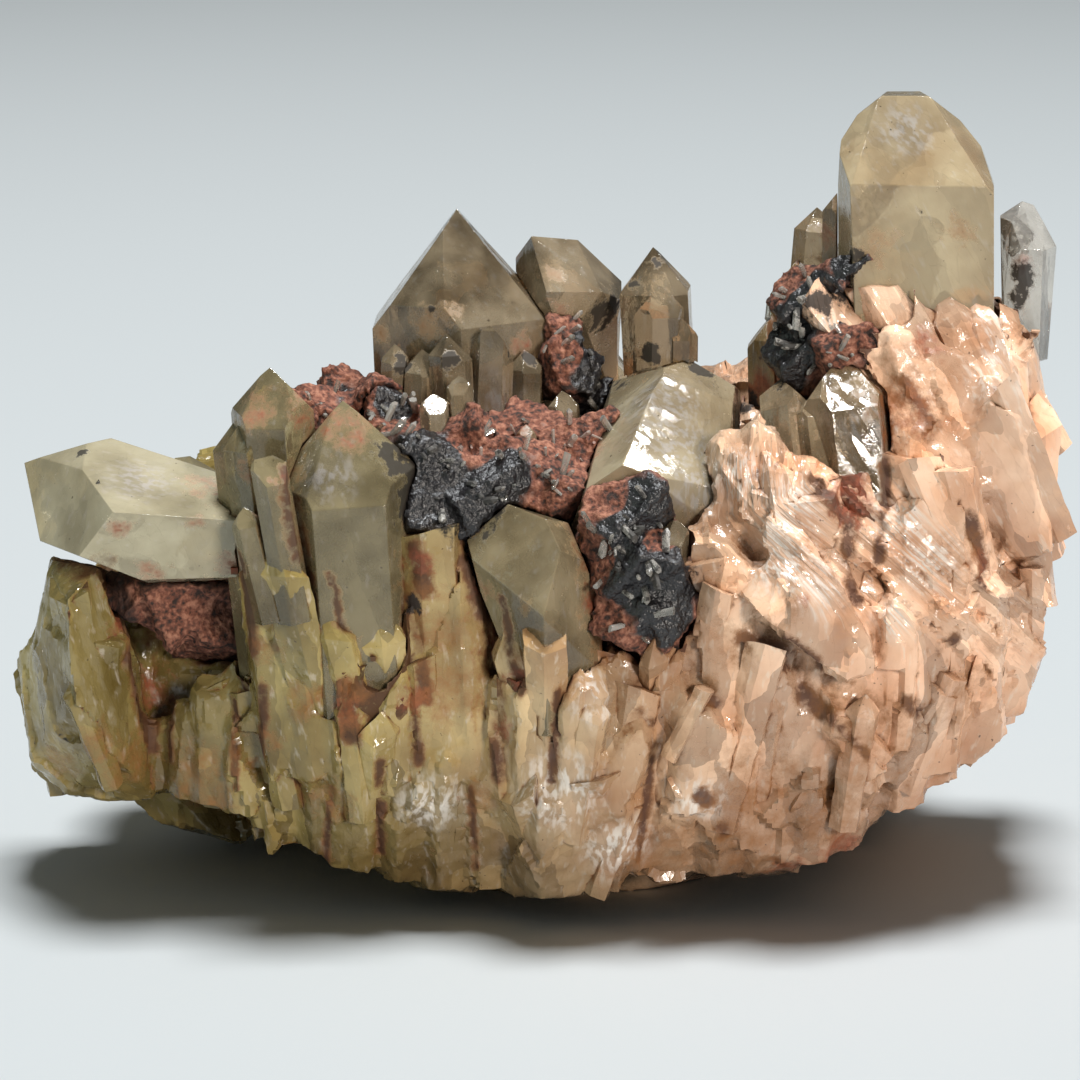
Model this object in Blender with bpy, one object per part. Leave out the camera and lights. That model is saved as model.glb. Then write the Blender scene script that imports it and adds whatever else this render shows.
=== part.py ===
"""A hand-sized cluster of milky and smoky quartz on its own iron-stained matrix.

Metres, +Z up. The long side runs along X and the front faces -Y. The cluster rests on a small
flat spot at z = 0, and the origin is the centre of its bounding box, on that plane.
"""

import itertools
import math
import random

import bmesh
import bpy
import numpy as np
from mathutils import Matrix, Vector

# Driving dimensions, in millimetres unless they say otherwise
MM = 0.001
SEAM = 0.3                 # open seam round a crystal that sits in its socket
REST_HEIGHT = 0.0          # height of the flat resting spot
CAP_SLOPE_DEG = 51.8       # quartz: slope of a cap face, measured from the plane across the crystal
CAP_STEP = 0.10            # how far a minor cap face stands out, as a part of the crystal's width
LUMP_FACES = 8             # faces of a block of crust
COLUMN_SINK = 1.2          # how far the intergrown columns sit back in the body behind them
COLUMN_SPREAD = 1.18       # their width where they have grown together, to the width that stands free
FACET_MERGE_DEG = 9.0      # facets that lie closer than this in angle are one facet
CORNER_MERGE = 0.12        # corners of a body closer than this are one corner
SEED = 11

# The front is laid out on a picture plane that leans back with the line of sight.
# A place on it is (across, down) in picture units of 0.16 mm, and then a depth along Y.
PICTURE_UNIT = 0.16
PICTURE_CENTRE = 540.0
SIGHT_TILT_DEG = 15.0
SIGHT_DISTANCE = 576.0
SIGHT_HEIGHT = 54.0

# Centre of the bounding box as laid out, moved to the origin at the end
BOX_CENTRE_X = -0.533
BOX_CENTRE_Y = 1.013

MILKY = (0.62, 0.53, 0.43, 1.0)
SMOKY = (0.45, 0.36, 0.27, 1.0)
ROSE_BEIGE = (0.63, 0.46, 0.36, 1.0)
CLEAR = (0.80, 0.79, 0.76, 1.0)
RED_OXIDE = (0.27, 0.08, 0.045, 1.0)
BLACK_OXIDE = (0.022, 0.021, 0.023, 1.0)

rng = random.Random(SEED)


def start_empty():
    for old in list(bpy.data.objects):
        bpy.data.objects.remove(old, do_unlink=True)


def seen_at(across, down, depth):
    """The place at Y = depth that the picture plane shows at (across, down)."""
    tilt = math.radians(SIGHT_TILT_DEG)
    ahead = Vector((0.0, math.cos(tilt), -math.sin(tilt)))
    over = Vector((0.0, math.sin(tilt), math.cos(tilt)))
    eye = Vector((0.0, 0.0, SIGHT_HEIGHT)) - ahead * SIGHT_DISTANCE
    ray = ahead * SIGHT_DISTANCE
    ray = ray + Vector((1.0, 0.0, 0.0)) * ((across - PICTURE_CENTRE) * PICTURE_UNIT)
    ray = ray + over * ((PICTURE_CENTRE - down) * PICTURE_UNIT)
    return eye + ray * ((depth - eye.y) / ray.y)


# Every convex body is a list of faces, each a place on the face and its outward normal, in mm.
def hull(*places):
    """Faces of the convex body round places, given as (across, down, depth)."""
    return hull_of([seen_at(*place) for place in places])


def hull_of(corners):
    bm = bmesh.new()
    for corner in corners:
        bm.verts.new(corner)
    bmesh.ops.convex_hull(bm, input=bm.verts)
    bmesh.ops.dissolve_limit(bm, angle_limit=math.radians(FACET_MERGE_DEG), verts=bm.verts, edges=bm.edges)
    bmesh.ops.recalc_face_normals(bm, faces=bm.faces)
    faces = [(face.calc_center_median(), face.normal.copy()) for face in bm.faces]
    bm.free()
    return faces


def faced(inside, *triples):
    """Faces that each run through three places, turned away from the place inside."""
    middle = seen_at(*inside)
    faces = []
    for triple in triples:
        one, two, three = (seen_at(*place) for place in triple)
        outward = (two - one).cross(three - one).normalized()
        if outward.dot(middle - one) > 0.0:
            outward = -outward
        faces.append((one, outward))
    return faces


def prism(tip, foot, width, thick, spin_deg=0.0, steps=None, facing=Vector((0.0, -1.0, 0.0))):
    """A six-sided quartz crystal from its foot to its tip.

    At a spin of 0 a flat face looks along facing, and at 30 an edge does. steps moves each of the
    six cap faces outwards, as a part of the width; by default every second one stands out a little,
    and None leaves a face out.
    """
    axis = (tip - foot).normalized()
    front = (facing - axis * facing.dot(axis)).normalized()
    side = axis.cross(front)
    steps = steps or (0.0, CAP_STEP, 0.0, CAP_STEP, 0.0, CAP_STEP)
    slope = math.radians(CAP_SLOPE_DEG)
    faces = [(foot, -axis)]
    for number, step in enumerate(steps):
        turn = math.radians(spin_deg + 60.0 * number)
        outward = front * math.cos(turn) + side * math.sin(turn)
        reach = math.hypot(0.5 * thick * math.cos(turn), 0.5 * width * math.sin(turn))
        faces.append((tip + outward * reach, outward))
        if step is not None:
            cap = outward * math.sin(slope) + axis * math.cos(slope)
            faces.append((tip + cap * (step * width), cap))
    return faces


def crystal(tip_at, foot_at, width, thick=None, spin_deg=0.0, steps=None):
    """A crystal seen from tip_at to foot_at, each (across, down, depth of its front side)."""
    thick = thick or width
    tip = seen_at(tip_at[0], tip_at[1], tip_at[2] + 0.5 * thick)
    foot = seen_at(foot_at[0], foot_at[1], foot_at[2] + 0.5 * thick)
    return prism(tip, foot, width, thick, spin_deg, steps)


def lump(across, down, depth, radius):
    """A rough block of crust: a ball cut by planes that point every way."""
    middle = seen_at(across, down, depth)
    faces = []
    for number in range(LUMP_FACES):
        height = 1.0 - 2.0 * (number + 0.5) / LUMP_FACES
        turn = number * math.pi * (3.0 - math.sqrt(5.0)) + across
        ring = math.sqrt(1.0 - height * height)
        outward = Vector((ring * math.cos(turn), ring * math.sin(turn), height))
        faces.append((middle + outward * radius * rng.uniform(0.84, 1.0), outward))
    return faces


def column(tip_at, foot_at, width, spin_deg):
    """An intergrown column of the front: uneven cap faces and a broken end."""
    tip_at = (tip_at[0], tip_at[1], tip_at[2] + COLUMN_SINK)
    foot_at = (foot_at[0], foot_at[1], foot_at[2] + COLUMN_SINK)
    width = width * COLUMN_SPREAD
    thick = width * rng.uniform(0.75, 1.1)
    faces = crystal(tip_at, foot_at, width, thick, spin_deg + rng.uniform(-8.0, 8.0), chisel())
    return faces + [broken_end(faces)]


def chisel():
    """Steps of three uneven cap faces out of six."""
    return [rng.uniform(0.0, 0.4) if number % 2 else None for number in range(6)]


def broken_end(faces):
    """A slanting face across the end of a prism, through its tip."""
    foot, downwards = faces[0]
    tip = next(place for place, outward in faces[1:] if abs(outward.dot(downwards)) > 0.3)
    lean = Vector((rng.uniform(-0.5, 0.5), rng.uniform(-0.7, -0.1), 0.0))
    return tip, (lean - downwards).normalized()


def body_of(faces, grow=0.0):
    """The closed mesh inside the faces, each moved out by grow."""
    outwards = np.array([outward[:] for _, outward in faces])
    reaches = np.array([place.dot(outward) + grow for place, outward in faces])
    triples = np.array(list(itertools.combinations(range(len(faces)), 3)))
    matrices = outwards[triples]
    crossing = np.abs(np.linalg.det(matrices)) > 1e-3
    corners = np.linalg.solve(matrices[crossing], reaches[triples[crossing]][:, :, None])[:, :, 0]
    within = np.all(corners @ outwards.T <= reaches + 0.004, axis=1)
    bm = bmesh.new()
    for corner in corners[within]:
        bm.verts.new(corner)
    bmesh.ops.remove_doubles(bm, verts=bm.verts, dist=CORNER_MERGE)
    found = bmesh.ops.convex_hull(bm, input=bm.verts)
    loose = found["geom_interior"] + found["geom_unused"]
    spare = {item for item in loose if isinstance(item, bmesh.types.BMVert)}
    bmesh.ops.delete(bm, geom=list(spare), context="VERTS")
    bmesh.ops.dissolve_limit(bm, angle_limit=math.radians(0.8), verts=bm.verts, edges=bm.edges)
    bmesh.ops.recalc_face_normals(bm, faces=bm.faces)
    return bm


def mesh_object(name, bm):
    mesh = bpy.data.meshes.new(name)
    bm.to_mesh(mesh)
    bm.free()
    thing = bpy.data.objects.new(name, mesh)
    bpy.context.scene.collection.objects.link(thing)
    return thing


def boolean(thing, operation, bodies):
    """Join the bodies to the thing, or cut them out of it, all in one exact Boolean."""
    others = bpy.data.collections.new("others")
    for faces, grow in bodies:
        other = mesh_object("other", body_of(faces, grow))
        bpy.context.scene.collection.objects.unlink(other)
        others.objects.link(other)
    bpy.context.scene.collection.children.link(others)
    change = thing.modifiers.new(operation, "BOOLEAN")
    change.operation = operation
    change.solver = "EXACT"
    change.operand_type = "COLLECTION"
    change.collection = others
    bpy.context.view_layer.update()
    shape = thing.evaluated_get(bpy.context.evaluated_depsgraph_get())
    result = bpy.data.meshes.new_from_object(shape)
    thing.modifiers.remove(change)
    thing.data = result
    for other in list(others.objects):
        bpy.data.objects.remove(other, do_unlink=True)
    bpy.data.collections.remove(others)


def shells(bm):
    """The separate closed shells of a mesh, each with the volume it holds."""
    left = set(bm.faces)
    found = []
    while left:
        first = left.pop()
        shell = {first}
        todo = [first]
        while todo:
            for edge in todo.pop().edges:
                for face in edge.link_faces:
                    if face in left:
                        left.remove(face)
                        shell.add(face)
                        todo.append(face)
        volume = 0.0
        for face in shell:
            first_corner = face.verts[0].co
            for one, two in zip(face.verts[1:-1], face.verts[2:]):
                volume += first_corner.dot(one.co.cross(two.co)) / 6.0
        found.append((volume, shell))
    return found


def tidy(thing):
    """One outer shell, without crumbs, sealed pockets or slivers."""
    bm = bmesh.new()
    bm.from_mesh(thing.data)
    bmesh.ops.remove_doubles(bm, verts=bm.verts, dist=0.003)
    bmesh.ops.dissolve_degenerate(bm, edges=bm.edges, dist=0.003)
    bmesh.ops.dissolve_limit(bm, angle_limit=math.radians(0.4), verts=bm.verts, edges=bm.edges)
    bmesh.ops.triangulate(bm, faces=bm.faces)
    found = sorted(shells(bm), key=lambda item: item[0])
    for volume, shell in found[:-1]:
        bmesh.ops.delete(bm, geom=list(shell), context="FACES")
    bm.to_mesh(thing.data)
    bm.free()


def quartz(name, colour, roughness, clear=0.0):
    material = bpy.data.materials.new(name)
    material.use_nodes = True
    shader = material.node_tree.nodes["Principled BSDF"]
    shader.inputs["Base Color"].default_value = colour
    shader.inputs["Roughness"].default_value = roughness
    shader.inputs["Metallic"].default_value = 0.0
    shader.inputs["IOR"].default_value = 1.544
    shader.inputs["Transmission Weight"].default_value = clear
    return material


# The separate crystals, each a list of convex bodies that grew into one another
def wing_point():
    return [faced(
        (130, 510, -12),
        ((113, 512, -35), (185, 517, -33), (111, 438, -15)),
        ((113, 512, -35), (185, 517, -33), (140, 579, -30)),
        ((113, 512, -35), (100, 475, -29), (40, 540, -24)),
        ((100, 475, -29), (90, 443, -18), (24, 462, -15)),
        ((111, 438, -15), (172, 460, -12), (140, 456, 6)),
        ((111, 438, -15), (24, 462, -15), (70, 458, 4)),
        ((24, 462, -15), (40, 541, -24), (32, 500, 2)),
        ((40, 541, -24), (141, 580, -30), (120, 572, 0)),
        ((141, 580, -30), (214, 578, -28), (190, 588, 0)),
        ((60, 500, 5), (200, 500, 5), (120, 560, 6)),
        ((240, 490, 0), (240, 560, 0), (240, 520, -12)))]


def wing_side_point():
    return [hull(
        (174, 458, -9), (190, 456, -8), (219, 472, -8), (180, 500, -21), (206, 497, -23),
        (229, 518, -22), (231, 548, -22), (213, 577, -22), (194, 562, -24), (180, 466, 3),
        (228, 478, 4), (240, 560, 2), (200, 590, -2), (226, 590, -12))]


def coated_point():
    return [
        crystal((269, 368, -35), (292, 680, -29), 10.8, 12.0, -8.0, (0.0, 0.12, 0.02, 0.1, 0.0, 0.05)),
        crystal((232, 425, -31), (262, 680, -26), 5.0, 8.0, 12.0, (0.3, 0.2, 0.2, 0.1, 0.0, 0.1)),
        crystal((252, 452, -33), (284, 680, -29), 8.0, 8.0, 25.0, (0.6, 0.5, 0.5, 0.5, 0.5, 0.5))]


def small_front_points():
    return [
        crystal((268, 463, -40.5), (296, 620, -39), 5.0, 4.6, 20.0, (0.0, 0.35, 0.3, 0.2, 0.4, 0.3)),
        crystal((244, 507, -38), (272, 620, -38), 4.4, 4.4, 0.0)]


def front_left_point():
    return [crystal((341, 402, -41), (362, 690, -34), 19.4, 20.5, 4.0, (0.0, 0.06, 0.02, 0.05, 0.0, 0.03))]


def front_centre_point():
    return [faced(
        (545, 620, -30),
        ((508, 504, -32), (468, 541, -33), (545, 600, -43)),
        ((508, 504, -32), (538, 518, -37.5), (562, 521, -31)),
        ((538, 518, -37.5), (548, 546, -41.5), (576, 541, -33)),
        ((548, 546, -41.5), (545, 612, -44), (600, 602, -34)),
        ((576, 541, -33), (600, 602, -34), (588, 580, -20)),
        ((600, 602, -34), (604, 690, -35), (602, 650, -20)),
        ((467, 540, -33), (480, 590, -34), (474, 565, -18)),
        ((480, 590, -34), (521, 692, -37), (503, 640, -18)),
        ((480, 592, -35), (521, 692, -38), (545, 622, -44.5)),
        ((545, 612, -44.5), (541, 722, -42), (604, 690, -35)),
        ((508, 504, -32), (562, 521, -31), (530, 514, -14)),
        ((508, 504, -32), (467, 540, -33), (490, 524, -14)),
        ((480, 600, -15), (600, 600, -15), (540, 700, -16)),
        ((500, 738, -36), (600, 738, -36), (550, 746, -16)))]


def tall_point():
    small = (0.0, 0.12, 0.05, 0.2, 0.1, 0.05)
    return [
        crystal((459, 212, -5), (470, 480, -7), 28.4, 25.0, 30.0, (0.0, 0.0, 0.03, 0.05, 0.02, 0.07)),
        crystal((396, 346, -9), (392, 420, -9), 3.8, 4.6, 20.0, small),
        crystal((424, 352, -10), (420, 440, -11), 5.6, 5.6, 30.0, small),
        crystal((449, 336, -12), (456, 470, -14), 6.0, 6.0, 10.0, (0.1, 0.0, 0.0, 0.1, 0.1, 0.1)),
        crystal((492, 336, -10), (488, 440, -11), 6.2, 6.0, 0.0, (0.5, 0.5, 0.0, 0.0, 0.1, 0.5)),
        crystal((526, 352, -7), (524, 450, -9), 5.0, 5.0, 25.0, small)]


def second_back_point():
    return [hull(
        (532, 236, 6), (577, 240, 11), (601, 263, 14), (621, 280, 15), (515, 258, 11),
        (545, 292, -1), (602, 292, 3), (622, 300, 10), (580, 318, 2), (552, 312, 0), (618, 316, 10),
        (518, 330, 10), (538, 240, 17), (575, 243, 22), (612, 280, 25), (520, 300, 23),
        (616, 400, 27), (524, 400, 27), (616, 400, 21), (520, 400, 17))]


def third_back_points():
    return [
        crystal((653, 247, 0), (662, 420, -1), 10.8, 11.5, 24.0, (0.0, 0.0, 0.05, 0.0, 0.0, 0.02)),
        crystal((660, 286, -3), (657, 420, -3), 7.2, 7.0, 14.0, (0.0, 0.1, 0.0, 0.1, 0.0, 0.1)),
        crystal((681, 318, -3), (680, 420, -3), 4.6, 5.0, 0.0)]


def bright_point():
    return [faced(
        (665, 440, -12),
        ((672, 379, -11), (732, 403, -10), (622, 465, -30)),
        ((672, 379, -11), (732, 403, -10), (690, 360, -1)),
        ((655, 387, -14), (622, 465, -30), (600, 416, -9)),
        ((650, 371, -5), (655, 388, -14), (606, 412, -9)),
        ((622, 465, -30), (598, 500, -28), (640, 520, -27)),
        ((626, 467, -30.5), (719, 438, -25), (690, 520, -28)),
        ((733, 404, -10), (719, 439, -25), (736, 520, -20)),
        ((735, 386, -4), (733, 404, -10), (742, 460, 4)),
        ((690, 360, -1), (735, 386, -3), (715, 376, 8)),
        ((650, 371, -4), (690, 360, -1), (668, 366, 8)),
        ((606, 412, -9), (570, 521, -20), (590, 440, 4)),
        ((600, 400, 7), (740, 400, 7), (680, 500, 7)),
        ((570, 540, -24), (720, 540, -24), (640, 545, 0)))]


def grey_block_points():
    return [
        crystal((838, 360, -24), (860, 540, -30), 12.4, 12.0, 12.0, (0.0, 0.1, 0.1, 0.1, 0.0, 0.12)),
        crystal((786, 384, -19), (806, 540, -29), 8.6, 9.0, 25.0, (0.2, 0.0, 0.1, 0.1, 0.3, 0.1)),
        crystal((812, 396, -22), (826, 520, -30), 5.4, 6.0, 5.0)]


def right_tall_point():
    return [faced(
        (915, 230, 0),
        ((853, 264, -14), (850, 184, -14), (991, 187, -12)),
        ((850, 184, -14), (991, 187, -12), (905, 95, -3)),
        ((853, 264, -14), (850, 184, -14), (838, 190, -6)),
        ((838, 262, -6), (838, 185, -6), (841, 262, 8)),
        ((849, 180, -13), (841, 140, -6), (880, 98, -4)),
        ((838, 184, -6), (841, 140, -6), (844, 160, 8)),
        ((841, 140, -6), (857, 115, -4), (850, 135, 8)),
        ((857, 115, -4), (880, 97, -4), (868, 106, 8)),
        ((880, 96, -4), (930, 96, -3), (905, 92, 6)),
        ((930, 97, -3), (966, 160, -11), (981, 146, 0)),
        ((930, 97, -3), (960, 120, 0), (945, 110, 10)),
        ((960, 120, 0), (981, 146, 0), (972, 136, 12)),
        ((981, 146, 0), (994, 186, -8), (990, 172, 8)),
        ((994, 187, -9), (994, 300, -9), (994, 220, 14)),
        ((880, 103, 8), (950, 112, 11), (900, 180, 15)),
        ((850, 200, 14.5), (990, 200, 14.5), (920, 300, 14.5)),
        ((850, 370, -10), (990, 370, -10), (920, 376, 10)))]


def right_clear_point():
    return [hull(
        (999, 216, 5), (1022, 201, 9), (1034, 205, 9), (1044, 223, 7), (1057, 247, 6),
        (1052, 292, 6), (1047, 360, 4), (1012, 222, 1), (1022, 250, -1), (1042, 250, 0),
        (1004, 300, 1), (1004, 370, 1), (1040, 360, 0), (1002, 222, 15), (1022, 206, 16),
        (1054, 252, 16), (1046, 360, 15), (1002, 370, 15))]


def right_side_points():
    return [
        crystal((817, 207, 0), (806, 330, -2), 5.6, 6.0, 0.0, (0.0, 0.2, 0.0, 0.1, 0.0, 0.0)),
        crystal((837, 193, -3), (836, 330, -5), 4.2, 5.0, 20.0)]


def dark_coated_points():
    return [
        crystal((803, 253, -4), (806, 420, -5), 9.6, 10.0, 15.0, (0.0, 0.15, 0.05, 0.2, 0.0, 0.1)),
        crystal((774, 312, -5), (776, 420, -6), 8.4, 8.4, 25.0, (0.0, 0.1, 0.05, 0.1, 0.0, 0.1)),
        crystal((832, 244, -10), (830, 360, -12), 5.6, 5.6, 10.0, (0.2, 0.0, 0.0, 0.1, 0.1, 0.1)),
        hull((868, 262, -17), (900, 258, -17), (912, 290, -18), (906, 320, -18), (862, 320, -18),
             (868, 262, -13), (905, 262, -13), (910, 330, -12), (826, 330, -12), (826, 300, -14))]


VALLEY_POINTS = (
    ("valley_point_1", (434, 398, -20), (441, 500, -24), 4.2, 10.0, (0.0, 0.25, 0.2, 0.2, 0.2, 0.25)),
    ("valley_point_2", (459, 380, -19), (465, 480, -22), 3.6, -10.0, (0.0, 0.25, 0.2, 0.2, 0.2, 0.2)),
    ("valley_point_3", (494, 445, -25), (512, 530, -24), 5.2, 15.0, (0.0, 0.3, 0.25, 0.2, 0.2, 0.3)),
    ("valley_point_4", (526, 424, -18), (527, 500, -20), 2.8, 0.0, None),
    ("valley_point_5", (562, 390, -9), (564, 480, -11), 5.0, 20.0, None),
    ("valley_point_6", (637, 524, -35), (646, 610, -33), 3.6, 25.0, None),
    ("valley_point_7", (672, 528, -36), (668, 620, -36), 4.6, 5.0, (0.1, 0.4, 0.3, 0.2, 0.2, 0.1)),
)


def valley_crust():
    places = ((402, 478, -20, 8), (440, 496, -25, 8), (488, 500, -24, 8.5), (540, 500, -22, 8.5),
              (574, 474, -12, 8.5), (396, 430, -11, 5.5), (460, 460, -15, 8), (520, 455, -10, 8))
    return [lump(*place) for place in places]


def cavity_crust():
    places = ((556, 332, 2, 4.2), (566, 372, 1, 5.4), (606, 311, 5, 3.2), (621, 312, 5, 2.6),
              (684, 330, 8, 4.0), (698, 366, 6, 5.4), (728, 394, 4, 4.2), (630, 430, 3, 8))
    return [lump(*place) for place in places]


def ridge_crust():
    places = ((302, 432, -16, 5.6), (326, 430, -9, 5.6), (352, 404, -1, 5.4), (384, 420, -8, 6.5),
              (290, 480, -21, 6.0))
    return [lump(*place) for place in places]


def black_crust():
    places = ((624, 524, -31, 6.4), (604, 560, -31, 5.6), (640, 570, -33, 7), (634, 610, -34, 6),
              (664, 604, -34.5, 5))
    return [lump(*place) for place in places]


def right_crust():
    places = ((828, 242, -3, 4), (850, 280, -12, 4), (1004, 250, -2, 4.2), (1018, 286, -4, 4.6),
              (812, 305, -8, 5.5), (812, 358, -10, 6), (846, 350, -14, 5.5), (1010, 316, -6, 5))
    return [lump(*place) for place in places]


def shoulder_crust():
    places = ((203, 492, -21, 3.0), (226, 560, -15, 6.5), (180, 592, -16, 6.5), (214, 604, -12, 8),
              (150, 592, -16, 5.5))
    return [lump(*place) for place in places]


# The intergrown columns of the front, from left to right: the front of the tip and of the foot,
# each (across, down, depth), then the width and the spin
FRONT_COLUMNS = (
    ((168, 722, -21), (166, 790, -18), 4.6, 0), ((191, 708, -24), (186, 796, -22), 5.8, 20),
    ((215, 683, -27), (212, 799, -24), 6.2, 0), ((251, 651, -28), (236, 804, -25), 6.4, 10),
    ((246, 704, -30), (243, 808, -27), 4.8, 0), ((286, 742, -32), (284, 836, -26), 7.6, 15),
    ((268, 560, -34), (296, 772, -32), 8.4, 0), ((304, 575, -37), (318, 772, -34), 8.4, 20),
    ((316, 704, -36), (326, 842, -29), 7.2, 5), ((350, 640, -38), (352, 760, -36), 9.0, 25),
    ((356, 734, -38), (350, 856, -29), 8.2, 0), ((386, 666, -39), (392, 790, -36), 7.6, 28),
    ((403, 600, -36), (412, 790, -35), 6.0, 0), ((404, 776, -37), (404, 868, -28), 7.4, 12),
    ((437, 500, -34), (450, 770, -36), 9.6, 0), ((424, 520, -35), (430, 720, -36), 5.0, 20),
    ((459, 560, -35), (474, 760, -36), 5.6, 25),
    ((447, 735, -38), (449, 872, -29), 8.2, 22), ((492, 752, -38), (494, 878, -30), 8.2, 0),
    ((446, 852, -32), (446, 882, -26), 9.4, 8),
    ((530, 676, -43), (528, 790, -40), 9.4, 10), ((581, 680, -44), (574, 790, -40), 8.8, 0),
    ((545, 776, -43), (552, 888, -33), 10.0, 18), ((611, 780, -41), (600, 874, -33), 8.6, 0),
    ((666, 652, -40), (642, 868, -33), 5.0, 20), ((626, 628, -38), (630, 764, -38), 7.8, 0),
    ((641, 712, -41), (612, 790, -40), 6.4, 15), ((701, 696, -42), (698, 792, -38), 10.6, 0),
    ((690, 556, -38), (722, 706, -38), 9.4, 24), ((720, 560, -38), (742, 700, -39), 8.0, 0),
    ((756, 696, -40), (733, 830, -35), 6.0, 0), ((781, 664, -40), (744, 846, -34), 5.6, 25),
    ((797, 694, -39), (776, 852, -33), 6.2, 5), ((813, 770, -38), (806, 850, -32), 7.0, 20),
    ((672, 792, -38), (668, 864, -31), 6.8, 0), ((717, 798, -38), (714, 868, -31), 7.0, 25),
    ((770, 826, -36), (765, 868, -28), 9.0, 10), ((690, 530, -37), (790, 646, -37), 9.2, 10),
    ((786, 480, -34), (794, 610, -37), 8.0, 28), ((716, 438, -31), (776, 536, -34), 7.4, 0),
    ((751, 424, -28), (792, 506, -33), 6.4, 20), ((806, 470, -33), (856, 630, -37), 6.0, 0),
    ((925, 460, -33), (930, 648, -34), 12.6, 12),
    ((984, 380, -26), (1030, 548, -25), 9.6, 0), ((901, 596, -39), (895, 746, -37), 7.4, 0),
    ((941, 588, -36), (930, 770, -32), 7.4, 22), ((981, 556, -32), (975, 758, -27), 7.4, 0),
    ((1018, 572, -26), (1010, 708, -20), 7.0, 15), ((1030, 630, -22), (1022, 700, -18), 4.6, 0),
    ((1022, 470, -24), (1022, 650, -22), 8.6, 20), ((830, 704, -41), (876, 776, -39), 6.2, 0),
    ((852, 672, -38), (866, 790, -36), 6.2, 10), ((905, 720, -37), (898, 796, -30), 7.4, 25),
    ((946, 690, -33), (934, 776, -28), 5.6, 0), ((842, 776, -36), (838, 834, -29), 7.4, 18),
    ((822, 640, -37), (812, 780, -37), 7.4, 15), ((740, 664, -38), (722, 760, -38), 6.2, 10),
)

# The leaning columns at the upper right
LEANING_COLUMNS = (
    ((826, 277, -17), (930, 470, -27), 6.6, 10), ((872, 271, -17), (992, 490, -26), 8.0, 20),
    ((930, 300, -14), (1008, 480, -22), 6.8, 25),
    ((975, 290, -12), (1022, 540, -20), 10.6, 0),
    ((890, 340, -22), (960, 480, -28), 6.4, 15), ((1008, 296, -8), (1030, 480, -14), 6.6, 20),
)


def front_blocks():
    """The broad bodies behind the columns, and the plates that lie on them."""
    return [
        hull((48, 552, -16), (42, 570, -18), (30, 640, -17), (20, 705, -14), (32, 768, -14),
             (64, 796, -14), (110, 803, -15), (158, 800, -18), (152, 745, -20), (132, 650, -22),
             (100, 566, -24), (66, 600, -29), (72, 700, -30), (112, 756, -27), (60, 572, 6),
             (42, 650, 6), (60, 775, 6), (150, 786, 8), (162, 700, 8), (120, 580, 8)),
        hull((24, 640, -12), (14, 662, -11), (20, 690, -12), (45, 650, -18), (45, 700, -18),
             (20, 660, 0), (45, 640, 2), (45, 700, 2)),
        hull((100, 575, -6), (242, 560, -10), (255, 650, -13), (262, 790, -18), (160, 800, -16),
             (148, 720, -4), (112, 572, 12), (150, 580, 22), (262, 540, 34), (262, 760, 26),
             (150, 770, 14), (124, 700, 10)),
        hull((246, 560, -29), (330, 530, -34), (432, 520, -32), (440, 700, -34), (430, 876, -26),
             (300, 848, -25), (246, 800, -22), (256, 680, -27), (250, 480, 20), (432, 470, 24),
             (432, 850, 22), (260, 790, 22)),
        hull((425, 560, -31), (470, 545, -29), (520, 560, -33), (640, 620, -34), (720, 560, -34),
             (720, 860, -29), (640, 866, -29), (552, 886, -30), (430, 876, -26), (430, 480, 20),
             (720, 440, 24), (720, 850, 26), (430, 850, 24)),
        hull((640, 560, -31), (760, 470, -28), (870, 470, -29), (900, 560, -33), (905, 790, -28),
             (870, 828, -26), (800, 866, -27), (690, 860, -29), (660, 440, 14), (890, 430, 18),
             (900, 790, 24), (700, 850, 26)),
        hull((842, 330, -15), (940, 340, -18), (1030, 360, -13), (1038, 480, -17), (1040, 560, -19),
             (1030, 690, -17), (1012, 710, -17), (955, 740, -22), (900, 812, -23), (870, 600, -30),
             (930, 470, -29), (845, 330, 22), (1024, 350, 20), (1034, 500, 22), (1014, 690, 18),
             (900, 790, 22)),
        hull((735, 592, -39), (772, 560, -37), (804, 520, -35), (832, 562, -37), (870, 648, -39),
             (872, 672, -39), (842, 679, -41), (760, 622, -43), (800, 600, -43), (740, 600, -24),
             (800, 530, -22), (866, 650, -24), (840, 670, -24)),
        hull((770, 494, -34), (800, 488, -34), (804, 560, -38), (770, 572, -39), (760, 540, -37),
             (775, 500, -22), (800, 560, -22)),
    ]


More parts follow.
